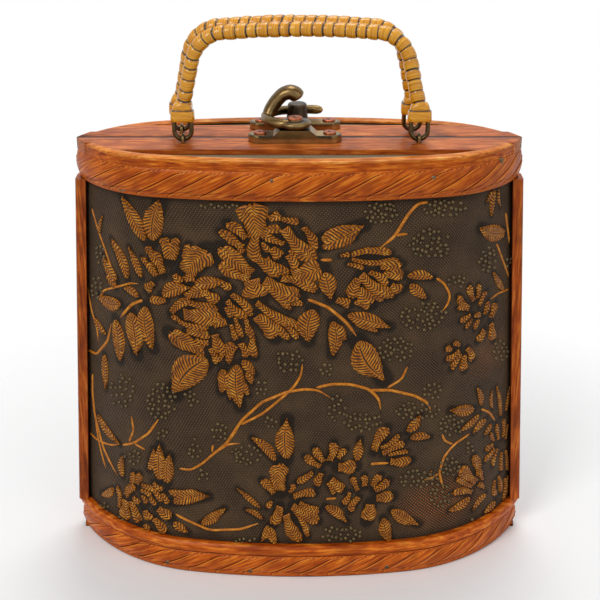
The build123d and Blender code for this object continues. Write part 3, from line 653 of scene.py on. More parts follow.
STROKES = {
    # Each stroke is (base x, base y, tip x, tip y, width), in pixels of the photograph.
    "leaf": [
        (146, 241, 123, 197, 15), (152, 241, 159, 201, 20), (128, 279, 112, 240, 11), (117, 280, 104, 257, 11),
        (142, 278, 129, 247, 8), (116, 287, 107, 274, 10), (121, 304, 100, 296, 13), (139, 297, 124, 287, 8),
        (116, 319, 120, 360, 15), (131, 312, 137, 354, 20), (145, 306, 153, 348, 17), (100, 234, 103, 216, 4),
        (95, 318, 106, 334, 8), (194, 283, 225, 281, 11), (162, 295, 190, 287, 13), (321, 240, 363, 225, 19),
        (322, 248, 354, 237, 12), (325, 272, 331, 299, 14), (313, 309, 308, 341, 18), (333, 321, 332, 355, 13),
        (339, 325, 346, 340, 8), (347, 315, 390, 327, 13), (354, 323, 378, 332, 7), (358, 341, 384, 379, 24),
        (407, 276, 433, 278, 9), (410, 284, 426, 298, 9), (494, 189, 491, 216, 7), (492, 190, 486, 202, 5),
        (498, 189, 500, 207, 4), (504, 233, 480, 228, 15), (503, 290, 493, 272, 7), (207, 358, 174, 393, 27),
        (223, 369, 221, 392, 12), (237, 364, 240, 407, 16), (242, 360, 255, 374, 9), (246, 372, 252, 384, 7),
        (244, 382, 249, 395, 7), (228, 386, 230, 400, 6), (105, 354, 106, 389, 9), (98, 414, 120, 444, 9),
        (123, 477, 123, 456, 7), (149, 470, 154, 448, 8), (160, 480, 160, 445, 13), (167, 483, 170, 455, 12),
        (168, 491, 197, 493, 9), (173, 502, 209, 496, 14), (201, 524, 225, 508, 10), (173, 522, 188, 532, 9),
        (114, 488, 102, 494, 8), (276, 461, 252, 438, 10), (287, 459, 287, 419, 18), (261, 508, 237, 488, 6),
        (263, 519, 245, 509, 6), (268, 525, 261, 541, 8), (270, 527, 276, 544, 10), (357, 461, 360, 439, 10),
        (325, 506, 347, 522, 10), (407, 432, 420, 415, 10), (410, 438, 430, 437, 8), (391, 510, 418, 524, 12),
        (383, 518, 390, 541, 13), (470, 497, 449, 510, 9), (486, 493, 472, 510, 7), (495, 501, 484, 512, 8),
        (474, 409, 450, 410, 11), (481, 406, 477, 388, 6), (492, 409, 492, 389, 4), (500, 417, 496, 386, 5),
        (505, 412, 509, 386, 5), (479, 414, 460, 430, 7), (486, 419, 473, 433, 8), (491, 423, 484, 435, 6),
    ],
    "petal": [
        (170, 260, 170, 242, 17), (166, 246, 162, 238, 10), (176, 252, 177, 238, 8), (163, 274, 152, 252, 12),
        (157, 276, 148, 262, 10), (153, 256, 147, 246, 9), (148, 268, 142, 257, 6), (186, 274, 208, 252, 24),
        (183, 258, 189, 244, 7), (174, 274, 181, 283, 9), (184, 280, 194, 277, 9), (154, 283, 147, 291, 9),
        (166, 300, 150, 299, 9), (259, 238, 251, 204, 24), (246, 239, 227, 223, 10), (244, 247, 226, 233, 9),
        (244, 253, 220, 231, 8), (252, 274, 220, 248, 16), (250, 279, 220, 264, 12), (252, 279, 259, 297, 22),
        (285, 244, 258, 230, 8), (281, 219, 299, 222, 7), (284, 228, 314, 260, 14), (303, 227, 315, 250, 8),
        (256, 236, 256, 262, 12), (256, 258, 279, 276, 13), (271, 248, 280, 258, 11), (266, 258, 289, 273, 9),
        (287, 255, 296, 269, 9), (289, 250, 298, 259, 5), (292, 276, 320, 268, 20), (281, 278, 316, 290, 11),
        (264, 280, 299, 297, 18), (263, 285, 290, 309, 9), (290, 304, 303, 303, 6), (256, 302, 299, 326, 10),
        (256, 316, 275, 337, 17), (273, 318, 289, 339, 8), (283, 322, 298, 338, 7), (295, 327, 304, 335, 5),
        (268, 219, 280, 214, 9), (258, 234, 281, 229, 8), (262, 242, 269, 252, 6), (220, 283, 232, 288, 8),
        (351, 255, 391, 253, 7), (351, 259, 398, 259, 6), (351, 254, 373, 249, 5), (347, 264, 364, 268, 5),
        (361, 274, 390, 296, 12), (369, 272, 387, 285, 8), (359, 278, 351, 298, 12), (358, 289, 371, 304, 15),
        (354, 302, 369, 308, 7), (370, 291, 384, 300, 6), (336, 300, 350, 305, 9), (340, 256, 350, 254, 5),
        (380, 267, 402, 264, 9), (383, 276, 403, 275, 12), (391, 285, 402, 290, 10), (372, 283, 393, 297, 9),
        (474, 301, 469, 286, 7), (477, 299, 478, 284, 6), (479, 306, 486, 291, 6), (484, 315, 488, 301, 7),
        (490, 318, 495, 303, 9), (469, 308, 458, 296, 8), (469, 310, 457, 308, 6), (471, 314, 460, 321, 6),
        (472, 318, 465, 328, 5), (479, 319, 474, 329, 6), (484, 329, 477, 341, 9), (491, 323, 493, 339, 10),
        (474, 316, 480, 314, 6), (452, 350, 446, 347, 7), (460, 346, 453, 343, 6), (460, 350, 446, 360, 7),
        (461, 353, 451, 369, 7), (464, 355, 464, 370, 9), (467, 348, 472, 360, 8), (478, 475, 473, 456, 9),
        (476, 482, 461, 468, 11), (472, 486, 457, 478, 7), (472, 492, 452, 493, 8), (483, 480, 480, 469, 5),
        (484, 488, 478, 484, 6), (493, 444, 485, 450, 6), (494, 447, 484, 461, 7), (497, 448, 492, 466, 6),
        (494, 441, 490, 432, 5), (498, 440, 496, 424, 5), (502, 438, 503, 419, 5), (505, 440, 507, 424, 4),
        (501, 452, 501, 470, 6), (505, 450, 507, 470, 5), (498, 476, 500, 492, 7), (494, 480, 495, 495, 6),
        (504, 478, 503, 500, 6), (508, 474, 508, 492, 4), (432, 470, 428, 476, 1),
        (374, 451, 387, 428, 12), (380, 448, 399, 435, 6), (382, 454, 404, 443, 8), (388, 455, 408, 451, 5),
        (390, 461, 411, 460, 11), (280, 491, 281, 464, 20), (274, 494, 262, 480, 10), (272, 501, 267, 508, 7),
        (280, 506, 273, 524, 13), (286, 514, 300, 541, 15), (294, 510, 308, 536, 8), (292, 506, 318, 521, 12),
        (299, 503, 319, 511, 9), (293, 497, 315, 493, 9), (289, 493, 294, 484, 6), (324, 462, 314, 448, 9),
        (321, 467, 305, 456, 8), (329, 461, 334, 443, 10), (338, 459, 346, 449, 8), (338, 467, 356, 466, 15),
        (331, 479, 343, 490, 11), (327, 483, 334, 494, 6), (322, 473, 317, 486, 9), (313, 472, 297, 482, 8),
        (358, 491, 352, 477, 7), (364, 487, 364, 475, 8), (372, 487, 381, 475, 9), (374, 490, 389, 480, 10),
        (376, 498, 393, 496, 13), (370, 504, 367, 520, 18), (359, 497, 350, 511, 9), (350, 492, 343, 504, 7),
        (132, 484, 134, 472, 8), (137, 484, 140, 473, 7), (126, 496, 135, 486, 9), (119, 508, 118, 486, 6),
        (126, 500, 124, 518, 12), (131, 501, 139, 522, 10), (133, 496, 140, 503, 7), (142, 495, 147, 504, 6),
        (145, 510, 151, 520, 10), (158, 508, 171, 518, 13), (154, 518, 165, 533, 11), (153, 482, 163, 490, 6),
        (162, 493, 168, 504, 6), (141, 485, 155, 489, 7), (154, 488, 163, 501, 7), (140, 490, 152, 496, 6),
        (150, 495, 156, 505, 6), (144, 524, 150, 530, 7), (185, 297, 206, 290, 12), (204, 291, 219, 301, 11),
        (171, 313, 190, 300, 9), (188, 302, 218, 309, 9), (183, 314, 221, 317, 19), (171, 316, 178, 320, 6),
        (177, 320, 208, 328, 7), (204, 350, 170, 333, 18), (186, 331, 210, 336, 9), (195, 339, 209, 343, 6),
        (213, 326, 226, 320, 12), (215, 334, 223, 354, 12), (231, 324, 236, 340, 6), (225, 307, 232, 317, 7),
        (227, 300, 247, 318, 9), (231, 294, 252, 315, 9), (235, 317, 242, 337, 6), (246, 319, 253, 338, 7),
        (240, 343, 247, 357, 9), (253, 338, 255, 357, 9), (219, 360, 233, 343, 7), (210, 348, 218, 363, 8),
        (237, 346, 228, 363, 7), (176, 344, 204, 355, 8),
    ],
}

STEMS = [
    # Each stem is its width and the pixels it runs through.
    (2.6, [(220, 451), (228, 441), (242, 420), (262, 402), (286, 392), (304, 389), (318, 390), (334, 400)]),
    (2.4, [(240, 425), (262, 414), (277, 402), (293, 388), (301, 376), (303, 360)]),
    (2.6, [(315, 388), (331, 384), (350, 384), (369, 389), (379, 399), (381, 412)]),
    (2.6, [(369, 390), (391, 390), (416, 396), (428, 403), (431, 412)]),
    (2.2, [(387, 388), (402, 379), (408, 365)]),
    (2.2, [(178, 468), (191, 470), (203, 463), (213, 454), (228, 444), (244, 443)]),
    (2.2, [(213, 454), (228, 442), (240, 425)]),
    (2.6, [(307, 299), (328, 307), (346, 322), (357, 337)]),
    (2.6, [(429, 202), (418, 203), (407, 216), (395, 236), (379, 249)]),
    (2.4, [(395, 236), (400, 234), (408, 234)]),
    (2.2, [(436, 278), (444, 283), (450, 294), (449, 302), (441, 313)]),
    (2.6, [(320, 260), (333, 260)]),
    (2.4, [(174, 513), (191, 522), (210, 530), (241, 529), (262, 522)]),
    (2.6, [(143, 300), (132, 304), (120, 318)]),
    (2.0, [(92, 207), (98, 228), (106, 251), (116, 280)]),
    (2.0, [(88, 286), (92, 310), (98, 330), (98, 345)]),
    (2.4, [(88, 350), (97, 354), (108, 341), (112, 321)]),
    (2.4, [(93, 372), (93, 392), (95, 413), (104, 448), (120, 480)]),
    (2.0, [(95, 413), (99, 441), (107, 472)]),
    (2.2, [(122, 445), (134, 443), (149, 433), (160, 417)]),
    (2.0, [(129, 442), (134, 430), (131, 414)]),
    (2.0, [(134, 443), (146, 450)]),
    (2.0, [(88, 430), (98, 440), (111, 445), (120, 444)]),
    (2.0, [(99, 300), (104, 290), (116, 287), (131, 283), (142, 284)]),
    (2.2, [(470, 433), (454, 444), (444, 456), (439, 473), (444, 491)]),
    (2.0, [(453, 444), (444, 441), (442, 433)]),
    (2.0, [(439, 473), (432, 478), (423, 480)]),
    (2.2, [(481, 409), (489, 412), (495, 421)]),
    (2.4, [(505, 212), (507, 228), (509, 245)]),
    (2.2, [(496, 243), (503, 262), (509, 279)]),
    (2.0, [(508, 289), (498, 293), (489, 300)]),
    (2.4, [(370, 464), (380, 463), (389, 463)]),
    (2.0, [(325, 499), (337, 498)]),
    (2.0, [(212, 453), (213, 444)]),
]

BERRIES = [
    # Each cluster is its middle, its half width and half height, in pixels, and how many berries it has.
    (381, 213, 17, 11, 28), (444, 208, 22, 8, 24), (430, 244, 21, 15, 34), (456, 281, 9, 7, 9),
    (487, 259, 9, 12, 17), (424, 316, 23, 15, 38), (396, 349, 18, 12, 32), (290, 360, 14, 12, 17),
    (263, 388, 7, 8, 7), (328, 370, 8, 7, 7), (336, 408, 10, 14, 13), (362, 421, 19, 10, 24),
    (272, 421, 7, 6, 6), (247, 455, 15, 10, 16), (341, 534, 21, 8, 22), (432, 391, 9, 8, 14),
    (417, 411, 22, 9, 26), (451, 424, 11, 11, 19), (469, 447, 4, 6, 5), (449, 465, 11, 10, 16),
    (418, 479, 20, 9, 26), (440, 495, 10, 12, 18), (123, 391, 12, 17, 22), (162, 401, 14, 19, 34),
    (162, 434, 6, 5, 6), (133, 457, 8, 7, 9), (190, 400, 9, 9, 8), (195, 450, 6, 12, 9),
    (204, 475, 6, 7, 5), (220, 433, 8, 10, 11), (237, 453, 5, 6, 5), (104, 508, 5, 6, 6),
    (101, 254, 4, 11, 9), (97, 287, 6, 12, 14), (220, 206, 20, 2, 10), (500, 350, 8, 10, 14),
    (245, 540, 12, 3, 6), (120, 520, 5, 4, 5), (508, 262, 3, 6, 6), (478, 520, 8, 3, 6),
]

PIXELS_PER_MM = 2.05
# How much fuller than its drawn width each motif is made
STROKE_FULLNESS = {"leaf": 1.18, "petal": 1.38}
STEM_FULLNESS = 1.35
STEM_RISE = 0.62
TOOTH_SPACING = 2.6
STROKE_COLUMN = 0.7
BERRY_LIFT = 0.2
# The least distance between two berries, in pixels
BERRY_SPACING = 3.9
COVER_GRID = 1.05
# How far the painted shade round each motif reaches
HALO_WIDTH = 0.7
# Places on the wall where the cover is worn, as (along, z, half width, half height, strength)
WORN_PLACES = [(78, 36, 22, 13, 1.0), (96, 108, 16, 12, 0.55)]


def petal_outline(u, phase):
    """Half width of a petal from its base to its tip: narrow, full, then round, with a wavy edge."""
    closing = np.clip(u - 0.55, 0, 1) / 0.45
    outline = (np.clip(u, 0, 1) ** 0.55) * np.sqrt(np.clip(1 - closing ** 2.6, 0, 1))
    outline = np.maximum(outline, 0.5 * (u < 0.55))
    return outline * (1 + 0.09 * np.sin(u * 9 + phase) + 0.05 * np.sin(u * 23 + 2 * phase))


def leaf_outline(u, phase, teeth, width):
    """Half width of a leaf from its base to its tip, with a saw edge if it is wide enough."""
    outline = np.sin(np.pi * np.clip(u, 0, 1) ** 0.82) ** 0.85
    saw = (u * teeth + phase) % 1.0
    return outline * (1 + 0.13 * (0.5 - saw) * (width > 4))


def stroke_shape(kind, start, end, width, bow, seed):
    """A petal or a leaf, laid on the wall from its base to its tip, with a hollow along its middle."""
    rng = np.random.default_rng(seed)
    run = end - start
    length = float(np.linalg.norm(run))
    forward = run / length
    side = np.array([-forward[1], forward[0]])
    phase = rng.uniform(0, 6)
    teeth = max(3, round(length / TOOTH_SPACING))
    height = min(1.25, 0.45 + 0.11 * width)

    def shape(u, v):
        across = 2 * v - 1
        if kind == "leaf":
            outline = leaf_outline(u, phase, teeth, width)
        else:
            outline = petal_outline(u, phase)
        ruffle = 0.05 * np.sin(across * 7 + phase) * (u > 0.7)
        centre = start + forward * ((u + ruffle * u) * length)[:, None]
        arch = side * (bow * length * np.sin(np.pi * u))[:, None]
        flat = centre + arch + side * (across * outline * width / 2)[:, None]
        edge = np.clip((1 - np.abs(across)) / 0.3, 0, 1)
        ends = np.clip(u / 0.06, 0, 1) * np.clip((1 - u) / 0.07, 0, 1)
        body = np.sqrt(edge) * np.sqrt(ends)
        hollow = 0.42 * np.exp(-(across / 0.17) ** 2) * (width > 3.2) * np.clip(1.25 - u, 0, 1)
        flattened = 0.175 * (np.abs(across) < 0.55) * (width > 5)
        lift = height * (body * (1 - flattened) - hollow * body) - 0.45 * (1 - body)
        points = wall_point(flat[:, 0], flat[:, 1], lift)
        crown = body * (0.55 + 0.45 * np.abs(across))
        if kind == "leaf":
            # Painted shade along the leaf's hollow midrib
            crown = crown * (1 - np.exp(-(across / 0.1) ** 2) * (u < 0.9) * (width > 3))
        combing = u * length + 0.6 * np.abs(across) * width / 2
        return points, np.stack([combing, across * width], axis=1), {"crown": crown}

    return shape, length


def wall_strokes():
    """Where every petal and leaf lies on the wall: (kind, start, end, width), in millimetres."""
    laid = []
    for kind, strokes in STROKES.items():
        for x0, y0, x1, y1, width in strokes:
            start = on_wall((x0, y0))
            end = on_wall((x1, y1))
            laid.append((kind, start, end, width * STROKE_FULLNESS[kind] / PIXELS_PER_MM))
    return laid


def stem_line(pixels, spacing=1.0):
    """Evenly spaced points of a stem, smoothed through its pixels."""
    knots = np.array([on_wall(pixel) for pixel in pixels])
    lengths = np.concatenate([[0], np.cumsum(np.linalg.norm(np.diff(knots, axis=0), axis=1))])
    count = max(4, int(lengths[-1] / spacing))
    samples = np.linspace(0, lengths[-1], count)
    line = np.stack([np.interp(samples, lengths, knots[:, axis]) for axis in (0, 1)], axis=1)
    for _ in range(4):
        line[1:-1] = (line[:-2] + 2 * line[1:-1] + line[2:]) / 4
    return line


def add_stem(target, width, line):
    """A half-round rib along a line on the wall, thin at its end."""
    tangents = np.gradient(line, axis=0)
    tangents /= np.linalg.norm(tangents, axis=1, keepdims=True)
    sides = np.stack([-tangents[:, 1], tangents[:, 0]], axis=1)
    columns = len(line) - 1

    def shape(u, v):
        index = np.clip(np.rint(u * columns).astype(int), 0, columns)
        across = 2 * v - 1
        taper = np.clip(np.minimum(u / 0.04, (1.06 - u) / 0.25), 0.15, 1)
        flat = line[index] + sides[index] * (across * width / 2 * taper)[:, None]
        lift = STEM_RISE * width * taper * np.sqrt(np.clip(1 - across ** 2, 0, 1)) - 0.25
        points = wall_point(flat[:, 0], flat[:, 1], lift)
        # Painted shade down the stem's sides
        crown = 0.1 + 0.9 * (1 - np.abs(across))
        return points, np.stack([np.full(len(u), 0.77), across], axis=1), {"crown": crown}

    patch(target, columns, 6, shape)


def berry_spots():
    """Where every berry lies on the wall, by clusters, spaced out so that none touch."""
    rng = random.Random(7)
    spots = []
    for x, y, half_width, half_height, count in BERRIES:
        cluster = []
        tries = 0
        while len(cluster) < count and tries < 400:
            tries += 1
            angle = rng.uniform(0, 2 * math.pi)
            reach = math.sqrt(rng.uniform(0, 1))
            pixel = (x + half_width * reach * math.cos(angle),
                     y + half_height * reach * math.sin(angle))
            if all(math.dist(pixel, other) > BERRY_SPACING for other in cluster):
                cluster.append(pixel)
        spots += [on_wall(pixel) for pixel in cluster]
    return spots


def berry_template():
    """One low dome, one millimetre in radius, to be set down at every spot."""
    builder = bmesh.new()
    bmesh.ops.create_uvsphere(builder, u_segments=10, v_segments=6, radius=1.0)
    mesh = bpy.data.meshes.new("berry_template")
    builder.to_mesh(mesh)
    builder.free()
    return mesh


def add_berry(target, template, spot, radius):
    """Set a berry on the wall, its pole along the wall's normal."""
    along, z = np.array([spot[0]]), np.array([spot[1]])
    centre = Vector(wall_point(along, z, np.array([BERRY_LIFT]))[0])
    above = Vector(wall_point(along, z, np.array([BERRY_LIFT + 1.0]))[0])
    turn = Vector((0, 0, 1)).rotation_difference(above - centre).to_matrix().to_4x4()
    berry = template.copy()
    berry.transform(Matrix.Translation(centre) @ turn @ Matrix.Scale(radius, 4))
    target.from_mesh(berry)
    bpy.data.meshes.remove(berry)


def motif_distance(along, z, strokes, stems, spots):
    """About how far each point of the wall is from the nearest raised motif."""
    near = np.full(along.shape, 9.0)
    for _, start, end, width in strokes:
        run = end - start
        share = ((along - start[0]) * run[0] + (z - start[1]) * run[1]) / (run @ run)
        share = np.clip(share, 0, 1)
        gap = np.hypot(along - start[0] - share * run[0], z - start[1] - share * run[1])
        near = np.minimum(near, np.maximum(0, gap - 0.3 * width))
    for width, line in stems:
        for knot in line[::2]:
            gap = np.hypot(along - knot[0], z - knot[1])
            near = np.minimum(near, np.maximum(0, gap - 0.3 * width) + 0.5)
    for spot in spots:
        gap = np.hypot(along - spot[0], z - spot[1])
        near = np.minimum(near, np.maximum(0, gap - 0.5) + 0.35)
    return near


def wall_cover(strokes, stems, spots):
    """The cover between the rims, pressed in a little round the raised motifs, with painted shade there, along
    the rims and towards the wall's ends.
    """
    columns = int(2 * BOTTOM_LENGTHS[-1] / COVER_GRID)
    z_low = BOTTOM_RIM_HEIGHT - 2.0
    z_high = TOP_RIM_BASE + 2.0
    rows = int((z_high - z_low) / COVER_GRID)

    def shape(u, v):
        z = z_low + (z_high - z_low) * v
        reach = half_length(z)
        along = (2 * u - 1) * reach
        # Painted shade: round each motif, along the rims and towards the wall's ends
        halo_shade = np.exp(-(motif_distance(along, z, strokes, stems, spots) / HALO_WIDTH) ** 1.6)
        rim_shade = np.exp(-(np.minimum(z - BOTTOM_RIM_HEIGHT, TOP_RIM_BASE - z) / 3.0) ** 2)
        edge_shade = np.exp(-((reach - np.abs(along)) / 9.0) ** 2)
        worn = sum(strength * np.exp(-((along - x) / half_width) ** 2 - ((z - y) / half_height) ** 2)
                   for x, y, half_width, half_height, strength in WORN_PLACES)
        points = wall_point(along, z, 0.16 - 0.1 * halo_shade)
        shaded = np.clip(halo_shade + 0.6 * rim_shade + 0.25 * edge_shade, 0, 1)
        return points, np.stack([along, z], axis=1), {"halo_shade": shaded, "wear": np.clip(worn, 0, 1)}

    builder = bmesh.new()
    patch(builder, columns, rows, shape)
    return finished("front_wall_cover", builder, cover, "front_half")


def embossed_wall():
    """The whole ornament of the front wall, and the same turned round for the back."""
    strokes = wall_strokes()
    stems = [(width * STEM_FULLNESS / PIXELS_PER_MM, stem_line(pixels)) for width, pixels in STEMS]
    spots = berry_spots()
    pieces = [wall_cover(strokes, stems, spots)]
    for kind in STROKES:
        builder = bmesh.new()
        for seed, (stroke_kind, start, end, width) in enumerate(strokes):
            if stroke_kind != kind:
                continue
            bow = 0.1 * math.sin(seed * 2.4)
            shape, length = stroke_shape(kind, start, end, width, bow, seed)
            patch(builder, max(8, int(length / STROKE_COLUMN)), 16, shape)
        pieces.append(finished("front_embossed_" + kind, builder, gilt, "front_half"))
    builder = bmesh.new()
    for width, line in stems:
        add_stem(builder, width, line)
    pieces.append(finished("front_embossed_stems", builder, gilt, "front_half"))
    builder = bmesh.new()
    rng = random.Random(3)
    template = berry_template()
    for spot in spots:
        add_berry(builder, template, spot, rng.uniform(0.8, 1.0))
    bpy.data.meshes.remove(template)
    pieces.append(finished("front_embossed_berries", builder, berry_gilt, "front_half"))
    for piece in pieces:
        turned(piece, piece.name.replace("front_", "back_"), "back_half")


embossed_wall()


# Handles

# The handle's upright outline, measured from the links' pivots
CORNER = (46.5, 47.2)
CROWN_HEIGHT = 50.7
CORNER_RADIUS = 16.0
CROWN_RADIUS = 400.0
CANE_RADIUS = 3.5
CANE_PITCH = 4.9
CANE_COLUMN = 0.42
CANE_AROUND = 28
CANE_LEAN = 0.21
# The collar's section: half width, half depth and height over its foot
COLLAR_FOOT = LINK_HEIGHT - 2.6
COLLAR_SECTION = [
    (5.1, 2.95, 4.9), (5.1, 2.95, 0.4), (5.25, 3.15, 0.0), (5.42, 3.4, 0.5), (5.45, 3.45, 2.6),
    (5.35, 3.45, 4.8), (5.0, 3.3, 5.2), (4.6, 3.1, 5.3), (4.6, 3.4, 5.7), (4.2, 3.45, 7.2),
    (3.8, 3.4, 8.1), (3.3, 3.0, 8.8), (2.4, 2.3, 9.0),
]
# Points of the section that lie in the groove, and the last one that is still squared
COLLAR_GROOVE_ROWS = (6, 7)
COLLAR_ROUND_FROM = 9


def handle_line(extra_rise, foot):
    """Points of a handle's centre line in its own upright plane: legs, rounded corners, slight crown."""
    corner_x, corner_z = CORNER[0], CORNER[1] + extra_rise
    corners = [(-HANDLE_HALF_SPAN, foot), (-corner_x, corner_z), (0.0, CROWN_HEIGHT + extra_rise),
               (corner_x, corner_z), (HANDLE_HALF_SPAN, foot)]
    points = [np.array(corners[0])]
    for index, radius in enumerate((CORNER_RADIUS, CROWN_RADIUS, CORNER_RADIUS)):
        before, here, after = (np.array(corners[index + step]) for step in (0, 1, 2))
        back = (before - here) / np.linalg.norm(before - here)
        on = (after - here) / np.linalg.norm(after - here)
        half = math.acos(float(np.clip(back @ on, -1, 1))) / 2
        reach = radius / math.tan(half)
        centre = here + (back + on) / np.linalg.norm(back + on) * radius / math.sin(half)
        first, last = here + back * reach - centre, here + on * reach - centre
        angle0 = math.atan2(first[1], first[0])
        angle1 = math.atan2(last[1], last[0])
        sweep = (angle1 - angle0 + math.pi) % (2 * math.pi) - math.pi
        for share in np.linspace(0, 1, 24):
            angle = angle0 + sweep * share
            points.append(centre + radius * np.array([math.cos(angle), math.sin(angle)]))
    points.append(np.array(corners[-1]))
    return np.array(points)


def stand(points, half):
    """Lean a handle's points inward and set them over its staples."""
    side = -1 if half == "front" else 1
    lean = Matrix.Rotation(math.radians(side * HANDLE_LEAN), 3, "X")
    leaned = points @ np.array(lean).T
    return leaned + np.array([HANDLE_SHIFT[half], side * STAPLE_DISTANCE, PIVOT_HEIGHT])


def cane_wrap(half):
    """A cane strip wound round the handle: each turn is a rounded band that leans with the winding."""
    line = handle_line(HANDLE_EXTRA_RISE[half], LINK_HEIGHT + 2.8)
    lengths = np.concatenate([[0], np.cumsum(np.linalg.norm(np.diff(line, axis=0), axis=1))])
    total = lengths[-1]
    rng = np.random.default_rng(5 if half == "front" else 6)
    lift_each = rng.uniform(-0.12, 0.14, int(total / CANE_PITCH) + 3)

    def place(along):
        return np.stack([np.interp(along, lengths, line[:, axis]) for axis in (0, 1)], axis=1)

    def shape(u, v):
        along = u * total
        angle = 2 * math.pi * v
        turn = along / CANE_PITCH + CANE_LEAN * np.sin(angle) + 0.06 * np.sin(along * 0.9)
        number = np.clip(np.floor(turn).astype(int), 0, len(lift_each) - 1)
        share = turn - np.floor(turn)
        # The gap between turns is sunk a little and carries painted shade
        gap = np.exp(-(np.minimum(share, 1 - share) / 0.07) ** 2)
        band = np.sin(np.pi * np.clip(share, 0, 1)) ** 0.28
        slope = 0.22 * (share - 0.5)
        reach = CANE_RADIUS - 0.72 + (0.66 + slope + lift_each[number]) * band - 0.25 * gap
        ahead = place(along + 0.4) - place(along - 0.4)
        ahead /= np.linalg.norm(ahead, axis=1, keepdims=True)
        out = np.stack([-ahead[:, 1], ahead[:, 0]], axis=1)
        flat = place(along) + out * (np.cos(angle) * reach)[:, None]
        points = stand(np.stack([flat[:, 0], -np.sin(angle) * reach, flat[:, 1]], axis=1), half)
        strip = np.stack([along * 0.2 + turn * 7.0, share * 6.0 + angle * 0.01], axis=1)
        return points, strip, {"gap": gap}

    builder = bmesh.new()
    patch(builder, int(total / CANE_COLUMN), CANE_AROUND, shape)
    bmesh.ops.remove_doubles(builder, verts=builder.verts, dist=0.001)
    bmesh.ops.recalc_face_normals(builder, faces=builder.faces)
    for end in (-1, 1):
        add_collar(builder, half, end)
    piece = finished(half + "_cane_wrap", builder, cane, half + "_handle")
    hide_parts(half + "_handle_wrap")


def add_collar(target, half, end):
    """The wider bound collar over a link: an open sleeve of cane, squared below and round above."""
    section = np.array(COLLAR_SECTION)
    rows = len(section) - 1

    def shape(u, v):
        index = np.rint(v * rows).astype(int)
        half_width, half_depth, rise = section[index].T
        angle = -2 * math.pi * u
        squareness = np.where(index > COLLAR_ROUND_FROM, 1.0, 0.5)
        x = half_width * np.sign(np.cos(angle)) * np.abs(np.cos(angle)) ** squareness
        y = half_depth * np.sign(np.sin(angle)) * np.abs(np.sin(angle)) ** squareness
        z = COLLAR_FOOT + rise
        points = np.stack([x + end * HANDLE_HALF_SPAN, y, z], axis=1)
        # Painted shade in the collar's groove
        groove_shade = np.isin(index, COLLAR_GROOVE_ROWS).astype(float)
        return stand(points, half), np.stack([u * 30, z], axis=1), {"gap": groove_shade}

    made = patch(target, 40, rows, shape)
    bmesh.ops.remove_doubles(target, verts=made, dist=0.001)


for handle_half in ("front", "back"):
    cane_wrap(handle_half)


# Latch arm

LATCH_X = -2.0
LATCH_Y = -5.6
HUB_BASE = 219.2
HUB_RADIUS = 7.3
HUB_THICKNESS = 3.8
HUB_MIDDLE = HUB_BASE + HUB_THICKNESS / 2
SCREW_X = (-18.0, 14.0)
SCREW_TOP = 217.4
CATCH_Y = 15.4
RIVET_TOP = 224.2
# Places along each rod from the hub's middle, then its half thickness and half width there
ARM_BAR = [
    (-1.0, -2.4, 0.0, 2.5, 2.6), (-7.0, -1.4, 0.0, 2.4, 2.7), (-12.0, 3.0, 0.2, 2.4, 2.7),
    (-13.6, 9.5, 0.2, 2.3, 2.6), (-13.0, 16.0, 0.0, 2.2, 2.4), (-8.4, 24.0, -0.6, 2.1, 2.2),
    (-1.5, 28.4, -1.15, 2.1, 2.1), (6.0, 28.9, -1.15, 2.1, 2.1), (13.4, 27.4, -1.05, 2.2, 2.2),
]
HORN = [
    (-13.2, 9.4, -0.4, 2.6, 3.4), (-11.6, 11.6, 3.0, 3.1, 3.8), (-9.0, 12.5, 6.9, 3.2, 4.0),
    (-5.8, 12.6, 10.4, 3.2, 4.2), (-2.4, 12.6, 11.6, 3.4, 4.4), (0.4, 12.6, 10.5, 3.7, 4.4),
    (1.9, 12.6, 8.2, 3.4, 4.0),
]


def smooth_line(knots, count):
    """Points along a soft curve through knots, which may hold radii after their three places."""
    knots = np.asarray(knots, dtype=float)
    steps = np.linalg.norm(np.diff(knots[:, :3], axis=0), axis=1)
    lengths = np.concatenate([[0], np.cumsum(steps)])
    samples = np.linspace(0, lengths[-1], count)
    line = np.stack([np.interp(samples, lengths, column) for column in knots.T], axis=1)
    for _ in range(count // 5):
        line[1:-1] = (line[:-2] + 2 * line[1:-1] + line[2:]) / 4
    return line


def rod(target, knots, count=60, around=20):
    """A rounded rod of changing width and thickness from the latch's hub, closed with round ends."""
    line = smooth_line(np.array(knots) + [LATCH_X, LATCH_Y, HUB_MIDDLE, 0, 0], count)
    ahead = np.gradient(line[:, :3], axis=0)
    ahead /= np.linalg.norm(ahead, axis=1, keepdims=True)
    side = np.cross(ahead, np.array([0.0, 1.0, 0.0]))
    side /= np.linalg.norm(side, axis=1, keepdims=True)
    over = np.cross(side, ahead)

    def shape(u, v):
        row = np.clip(np.rint(u * count).astype(int), 0, count - 1)
        ends = np.minimum(row, count - 1 - row) / (0.07 * count)
        shrink = np.sqrt(np.clip(1 - (1 - np.clip(ends, 0, 1)) ** 2, 0.0, 1))
        angle = 2 * math.pi * v
        points = (line[row, :3] + side[row] * (np.cos(angle) * line[row, 3] * shrink)[:, None]
                  + over[row] * (np.sin(angle) * line[row, 4] * shrink)[:, None])
        return points, np.stack([u, v], axis=1), {}

    made = patch(target, count, around, shape)
    bmesh.ops.remove_doubles(target, verts=made, dist=0.002)


def add_hub(target):
    """The round, flat hub with softly rounded edges."""
    made = bmesh.ops.create_uvsphere(target, u_segments=40, v_segments=20, radius=1.0)["verts"]
    for vertex in made:
        rounding = (1 - min(1.0, abs(vertex.co.z)) ** 3.5) ** 0.4
        around = math.hypot(vertex.co.x, vertex.co.y) or 1.0
        reach = HUB_RADIUS * rounding if around > 0.02 else 0.0
        if around < 1.0 and abs(vertex.co.z) > 0.97:
            reach = HUB_RADIUS * 0.5 * (around > 0.02)
        vertex.co = Vector((LATCH_X + vertex.co.x * reach / around,
                            LATCH_Y + vertex.co.y * reach / around,
                            HUB_MIDDLE + vertex.co.z * HUB_THICKNESS / 2))


